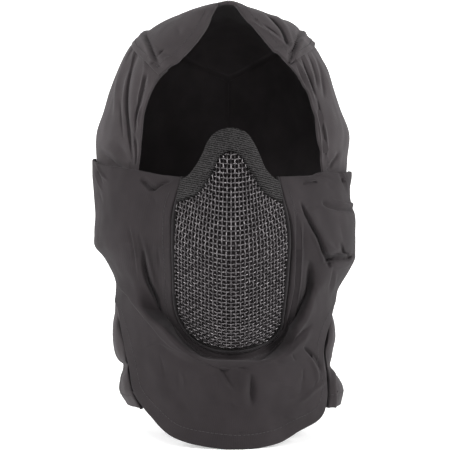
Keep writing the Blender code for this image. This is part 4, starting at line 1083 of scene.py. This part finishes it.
def weave_points():
    """Points of the weave on the mask, and how many wires each column and row of them is from the
    middle and from the top."""
    share = np.linspace(*WEAVE_HEIGHT, HEIGHT_PLACES)
    step = MASK_HEIGHT * (share[1] - share[0]) / (WIRE_PITCH * read(WIRE_ROWS, "pitch", share))
    rows_above = np.cumsum(step)
    across = np.linspace(0, WEAVE_WIDTH, WIDTH_PLACES)
    tight = SIDE_PITCH + (1 - SIDE_PITCH) / np.cosh(across / SIDE_REACH)
    columns_inside = np.cumsum((across[1] - across[0]) / (WIRE_PITCH * tight))
    columns_inside -= columns_inside[0]
    rows, columns = int(rows_above[-1]), int(columns_inside[-1])
    row_at = np.arange(WIRE_STEPS, rows * WIRE_STEPS + 1) / WIRE_STEPS
    column_at = np.arange(-columns * WIRE_STEPS, columns * WIRE_STEPS + 1) / WIRE_STEPS
    share_at = np.interp(row_at, rows_above, share)[None, :]
    x = (np.sign(column_at) * np.interp(np.abs(column_at), columns_inside, across))[:, None]
    x = x * (1 - read(WIRE_ROWS, "narrow", share_at))
    points = mask_points(x, mask_drop(share_at) - ROW_RISE * MASK_SAG * bow(x))
    return points, *np.meshgrid(column_at, row_at, indexing="ij")


def make_mesh(look):
    """Woven wires, each over one and under the next."""
    base, column, row = weave_points()
    lift = normals(base) * WIRE_RADIUS
    shown = inside_mesh(base[..., 0] - MASK_SIDE_SHIFT, -base[..., 2], WIRE_OVERHANG)
    # a wire bends like a wave between its crossings, and neighbours are out of step
    over_row = np.cos(np.pi * column) * np.where(np.round(row) % 2 == 0, 1, -1)
    over_column = -np.cos(np.pi * row) * np.where(np.round(column) % 2 == 0, 1, -1)
    along_rows = (base + lift * over_row[..., None])[:, ::WIRE_STEPS].transpose(1, 0, 2)
    along_columns = (base + lift * over_column[..., None])[::WIRE_STEPS]
    bm = bmesh.new()
    for lines, seen in ((along_rows, shown[:, ::WIRE_STEPS].T), (along_columns, shown[::WIRE_STEPS])):
        for line, visible in zip(lines, seen):
            at = np.nonzero(visible)[0]
            for run in np.split(at, np.nonzero(np.diff(at) > 1)[0] + 1):
                if len(run) >= WIRE_SHORTEST:
                    tube(bm, line[run], WIRE_RADIUS, WIRE_SIDES)
    return finish_mesh("mask_mesh", bm, look, merge=0)


def make_border(name, look, offset, radius, sides):
    """A round border along the mask's U edge."""
    bm = bmesh.new()
    tube(bm, mask_points(*mask_edge(offset, BORDER_POINTS).T), radius, sides)
    return finish_mesh(name, bm, look)


def between(inner, outer, shares):
    """Points on the mask between two lines of the front view, at these shares of the way."""
    shares = shares[None, :, None]
    flat = inner[:, None, :] * (1 - shares) + outer[:, None, :] * shares
    return mask_points(flat[..., 0], flat[..., 1])


def make_pad(look):
    """An arched pad with soft edges, closed all round."""
    lowest = mask_drop(MASK_SIDE["drop"][-1]) + EPSILON
    left, right = mask_sides(MESH)
    left, right = ([p for p in line[1:] if p[1] < lowest] for line in (left, right))
    rim = path(left[::-1] + [(0.0, MASK_TOP_DROP)] + right, PAD_POINTS)
    inner = beside(rim, MESH_BAR / 2)
    edge = [(MASK_HALF_WIDTH * a, mask_drop(d)) for a, d in zip(PAD_EDGE["across"], PAD_EDGE["drop"])]
    outer = path(edge, PAD_POINTS)
    angle = np.linspace(0, 2 * math.pi, PAD_SIDES, endpoint=False)
    share = 0.5 - 0.5 * np.sign(np.cos(angle)) * np.abs(np.cos(angle)) ** PAD_WIDE_POWER
    thick = np.sign(np.sin(angle)) * np.abs(np.sin(angle)) ** PAD_THICK_POWER
    face = between(inner, outer, share)
    n = normals(between(inner, outer, np.linspace(0, 1, PAD_SPAN)))[:, PAD_SPAN // 2]
    crown = 0.5 * PAD_THICKNESS + np.where(thick > 0, PAD_CROWN, 0)
    loops = face + n[:, None, :] * (crown * thick)[None, :, None]
    bm = bmesh.new()
    skin_rings(bm, [[bm.verts.new(p) for p in ring] for ring in loops])
    return finish_mesh("mask_pad", bm, look)


def beside(line, distance):
    """A line of 2-D points moved to its left by a distance, with mitred corners."""
    step = unit(np.diff(line, axis=0))
    before = np.vstack([step[:1], step])
    after = np.vstack([step, step[-1:]])
    out = np.stack([before[:, 1] + after[:, 1], -before[:, 0] - after[:, 0]], axis=1)
    out /= 1 + np.sum(before * after, axis=1)[:, None]
    return line + out * distance


# Looks

HOOD_DARK = (0.0268, 0.0228, 0.0241)
HOOD_LIGHT = (0.0384, 0.0330, 0.0348)
WRAP_DARK = (0.0182, 0.0152, 0.0164)
WRAP_LIGHT = (0.0245, 0.0206, 0.0221)
BINDING_DARK = (0.015, 0.0135, 0.0142)
BINDING_LIGHT = (0.021, 0.019, 0.020)
# the pad's colours: near black painted shade for the grain's hollows, and for its raised grain a tone that
# is partly the fabric's own and partly painted highlight
PAD_HOLLOW_SHADE = (0.0012, 0.0011, 0.0011)
PAD_TONE_AND_HIGHLIGHT = (0.0325, 0.0308, 0.0312)
STEEL_COLOR = (0.05, 0.05, 0.052)
STEEL_DARK = (0.061, 0.056, 0.0585)
STEEL_LIGHT = (0.168, 0.157, 0.162)
THREAD_COLOR = (0.026, 0.0225, 0.024)
# painted shade: the near black colour of the mesh's rim
RIM_PAINTED_SHADE = (0.0035, 0.003, 0.003)
# Width of the knit's ribs along and across, and how much painted shade darkens the hollows between them
KNIT_RIBS = (0.0007, 0.00091)
RIB_PAINTED_SHADE = 0.22
# Width and direction of the pad's grain
PAD_GRAIN = 0.0014
GRAIN_TURN = math.radians(78)
# The scale of a wave texture whose bands are 1 m wide
WAVE_SCALE = 0.314


def shader(name, color, roughness, more=None):
    """A material, and its shader with more of its sockets set by name."""
    made = bpy.data.materials.new(name)
    made.use_nodes = True
    node = made.node_tree.nodes["Principled BSDF"]
    for socket, value in {"Base Color": (*color, 1), "Roughness": roughness, **(more or {})}.items():
        node.inputs[socket].default_value = value
    return made, node


def add_node(look, kind, values, links):
    """A node of a material with its sockets set or linked, by their names or numbers."""
    made = look.node_tree.nodes.new("ShaderNode" + kind)
    for socket, value in values.items():
        made.inputs[socket].default_value = value
    for socket, source in links.items():
        look.node_tree.links.new(source, made.inputs[socket])
    return made


def combine(look, operation, values, links):
    """The result of a sum or product of numbers."""
    made = add_node(look, "Math", values, links)
    made.operation = operation
    return made.outputs[0]


def raise_surface(look, node, height, strength, distance):
    """Small relief of a shader."""
    made = add_node(look, "Bump", {"Strength": strength, "Distance": distance}, {"Height": height})
    look.node_tree.links.new(made.outputs["Normal"], node.inputs["Normal"])


def blend(look, share, places, colors):
    """One colour up to the first place of the share, the other from the second on."""
    made = add_node(look, "ValToRGB", {}, {"Fac": share})
    for stop, place, color in zip(made.color_ramp.elements, places, colors):
        stop.position = place
        stop.color = (*color, 1)
    return made.outputs["Color"]


def knit(name, colors, sheen):
    """Stretch knit: fine ribs along the cloth with painted shade between them, soft colour patches, light
    fluff.
    """
    fluff = {"Sheen Weight": sheen, "Sheen Roughness": 0.55, "Sheen Tint": (0.80, 0.77, 0.79, 1)}
    made, node = shader(name, colors[0], roughness=0.92, more={**fluff, "Specular IOR Level": 0.12})
    place = add_node(made, "TexCoord", {}, {}).outputs
    ribs = {}
    for k, turn in enumerate((0.0, math.pi / 2)):
        turned = add_node(made, "Mapping", {"Rotation": (0, 0, turn)}, {"Vector": place["UV"]})
        form = {"Scale": WAVE_SCALE / KNIT_RIBS[k], "Distortion": 0.6, "Detail": 1.0}
        ribs[k] = add_node(made, "TexWave", form, {"Vector": turned.outputs["Vector"]}).outputs["Fac"]
    weave = combine(made, "MULTIPLY", {}, ribs)
    fuzz = add_node(made, "TexNoise", {"Scale": 900, "Detail": 2}, {"Vector": place["Object"]})
    height = combine(made, "MULTIPLY_ADD", {1: 0.5}, {0: fuzz.outputs["Fac"], 2: weave})
    raise_surface(made, node, height, strength=0.35, distance=0.00012)
    form = {"Scale": 38, "Detail": 4, "Roughness": 0.6}
    patch = add_node(made, "TexNoise", form, {"Vector": place["Object"]})
    tone = blend(made, patch.outputs["Fac"], places=(0.35, 0.68), colors=colors)
    # painted shade: the colour is darkened where the ribs are low, in the hollows between them
    # sockets 6 and 7 of a colour mix are its two colours, and output 2 is the result
    shade = made.node_tree.nodes.new("ShaderNodeMix")
    shade.data_type = "RGBA"
    shade.blend_type = "MULTIPLY"
    shade.inputs["Factor"].default_value = RIB_PAINTED_SHADE
    made.node_tree.links.new(tone, shade.inputs[6])
    made.node_tree.links.new(weave, shade.inputs[7])
    made.node_tree.links.new(shade.outputs[2], node.inputs["Base Color"])
    return made


def twill(name, colors):
    """Textured pad fabric with a raised diagonal grain. Its colour follows the grain's height: near black
    painted shade in the hollows, and on the raised grain a lighter tone that is partly the fabric's own
    and partly painted highlight.
    """
    made, node = shader(name, colors[0], roughness=0.72, more={"Specular IOR Level": 0.12})
    place = add_node(made, "TexCoord", {}, {}).outputs["Object"]
    cells = add_node(made, "TexVoronoi", {"Scale": 950}, {"Vector": place})
    turned = add_node(made, "Mapping", {"Rotation": (0, GRAIN_TURN, 0)}, {"Vector": place})
    form = {"Scale": WAVE_SCALE / PAD_GRAIN, "Distortion": 2.2, "Detail": 2.0, "Detail Scale": 3.0}
    wave = add_node(made, "TexWave", form, {"Vector": turned.outputs["Vector"]})
    grain = {0: wave.outputs["Fac"], 2: cells.outputs["Distance"]}
    height = combine(made, "MULTIPLY_ADD", {1: 0.8}, grain)
    raise_surface(made, node, height, strength=1.0, distance=0.0006)
    # painted shade where the grain is low, and partly painted highlight where it is raised
    tone = blend(made, height, places=(0.6, 1.0), colors=colors)
    made.node_tree.links.new(tone, node.inputs["Base Color"])
    return made


def steel(name, colors):
    """Black coated wire, worn to grey in patches at random."""
    made, node = shader(name, STEEL_COLOR, roughness=0.38, more={"Metallic": 0.85})
    place = add_node(made, "TexCoord", {}, {}).outputs["Object"]
    worn = add_node(made, "TexNoise", {"Scale": 420, "Detail": 3}, {"Vector": place}).outputs["Fac"]
    gloss = add_node(made, "MapRange", {"To Min": 0.24, "To Max": 0.42}, {"Value": worn})
    tone = blend(made, worn, places=(0.4, 0.7), colors=colors)
    made.node_tree.links.new(tone, node.inputs["Base Color"])
    made.node_tree.links.new(gloss.outputs["Result"], node.inputs["Roughness"])
    return made


hood_look = knit("hood_knit", (HOOD_DARK, HOOD_LIGHT), sheen=0.10)
wrap_look = knit("wrap_knit", (WRAP_DARK, WRAP_LIGHT), sheen=0.05)
binding_look = knit("binding_knit", (BINDING_DARK, BINDING_LIGHT), sheen=0.05)
pad_look = twill("pad_twill", (PAD_HOLLOW_SHADE, PAD_TONE_AND_HIGHLIGHT))
mesh_look = steel("coated_wire", (STEEL_DARK, STEEL_LIGHT))
thread_look, _ = shader("thread", THREAD_COLOR, roughness=0.85)
# the rim's near black colour is painted shade along the mesh's edge
rim_shade_look, _ = shader("rim_painted_shade", RIM_PAINTED_SHADE, roughness=0.7, more={"Specular IOR Level": 0.1})

# Pieces

crown = make_crown(hood_look)
side_left = make_side(LEFT, SIDE_FOLDS_LEFT, hood_look)
side_right = make_side(RIGHT, SIDE_FOLDS_RIGHT, hood_look)
wrap = make_wrap(wrap_look)
band = make_band(wrap_look)
mesh = make_mesh(mesh_look)
rim = make_border("mask_rim", rim_shade_look, RIM_OFFSET, RIM_RADIUS, RIM_SIDES)
rippled = BINDING_RADIUS + np.sin(np.arange(BORDER_POINTS) * BINDING_TURN) * BINDING_RIPPLE
outside = MESH_BAR / 2 + BINDING_GAP + BINDING_RADIUS
binding = make_border("mask_binding", binding_look, outside, rippled, BINDING_SIDES)
pad = make_pad(pad_look)

for piece, node, slot in (
    (crown, "crown_panel", "hood_cloth"),
    (side_left, "side_panel_left", "hood_cloth"),
    (side_right, "side_panel_right", "hood_cloth"),
    (wrap, "face_wrap", "wrap_cloth"),
    (band, "neck_band", "wrap_cloth"),
    (mesh, "mesh_screen", "mesh_steel"),
    (binding, "mesh_binding", "binding_cloth"),
    (pad, "nose_pad", "pad_fabric"),
):
    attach(piece, "root")
    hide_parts(node)

for piece, slot in (
    (rim, "binding_cloth"),
    (bpy.data.objects["crown_stitches"], "hood_cloth"),
    (bpy.data.objects["side_stitches_left"], "hood_cloth"),
    (bpy.data.objects["side_stitches_right"], "hood_cloth"),
    (bpy.data.objects["wrap_stitches"], "wrap_cloth"),
):
    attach(piece, "root")

# Stage

FLOOR = CAD_BOX[0][2] - 0.0005
STAGE_HALF_WIDTH = 6
FLOOR_FRONT = -1.6
FLOOR_BACK = 0.5
CURVE_FROM = 2.6
CURVE_RADIUS = 0.6
CURVE_STEPS = 12
BACKDROP_HEIGHT = 2.9
SKY_STRENGTH = 0.12
CAMERA_LENS = 169.7
CAMERA_SENSOR = 36


def stage_piece(name, profile, color, glow):
    """A sheet of the stage through a profile of (y, z)."""
    bm = bmesh.new()
    ends = (-STAGE_HALF_WIDTH, STAGE_HALF_WIDTH)
    rows = [[bm.verts.new((x, y, FLOOR + z)) for x in ends] for y, z in profile]
    for a, b in zip(rows[:-1], rows[1:]):
        bm.faces.new((a[0], a[1], b[1], b[0]))
    shine = {"Emission Color": (1, 1, 1, 1), "Emission Strength": glow}
    look, _ = shader(name + "_white", (color, color, color), roughness=0.9, more=shine)
    finish_mesh(name, bm, look)


def make_stage():
    """A pale floor, and a backdrop that curves up from it."""
    stage_piece("stage_floor", [(FLOOR_FRONT, 0.0), (FLOOR_BACK, 0.0)], color=0.80, glow=0.45)
    curve = [(FLOOR_BACK, 0.0), (CURVE_FROM, 0.0)]
    for k in range(1, CURVE_STEPS + 1):
        a = math.pi / 2 * k / CURVE_STEPS
        curve.append((CURVE_FROM + CURVE_RADIUS * math.sin(a), CURVE_RADIUS * (1 - math.cos(a))))
    curve.append((CURVE_FROM + CURVE_RADIUS, BACKDROP_HEIGHT))
    stage_piece("stage_backdrop", curve, color=0.86, glow=0.95)


def soft_light(name, place, size, power, aim=(0, 0, -0.14)):
    data = bpy.data.lights.new(name, "AREA")
    data.shape = "RECTANGLE"
    data.size, data.size_y = size
    data.energy = power
    made = bpy.data.objects.new(name, data)
    made.location = place
    made.visible_camera = False
    made.rotation_euler = (Vector(aim) - Vector(place)).to_track_quat("-Z", "Y").to_euler()
    bpy.context.scene.collection.objects.link(made)


make_stage()
soft_light("softbox_key", place=(-0.2, -1.25, 0.62), size=(0.6, 0.5), power=10.5)
soft_light("softbox_left", place=(-1.15, -0.4, 0.35), size=(0.45, 0.7), power=18)
soft_light("softbox_right", place=(1.15, -0.4, 0.35), size=(0.45, 0.7), power=21.5)
soft_light("softbox_front", place=(0.1, -1.5, -0.08), size=(0.7, 0.25), power=3.6, aim=(0, 0, -0.27))

world = bpy.data.worlds.new("studio")
world.use_nodes = True
sky = world.node_tree.nodes["Background"].inputs
sky["Color"].default_value = (1, 1, 1, 1)
sky["Strength"].default_value = SKY_STRENGTH
bpy.context.scene.world = world
bpy.context.scene.view_settings.view_transform = "Standard"

camera_data = bpy.data.cameras.new("camera")
camera_data.lens = CAMERA_LENS
camera_data.sensor_width = CAMERA_SENSOR
camera = bpy.data.objects.new("camera", camera_data)
camera.location = EYE
camera.rotation_euler = (math.pi / 2, 0, 0)
bpy.context.scene.collection.objects.link(camera)
bpy.context.scene.camera = camera
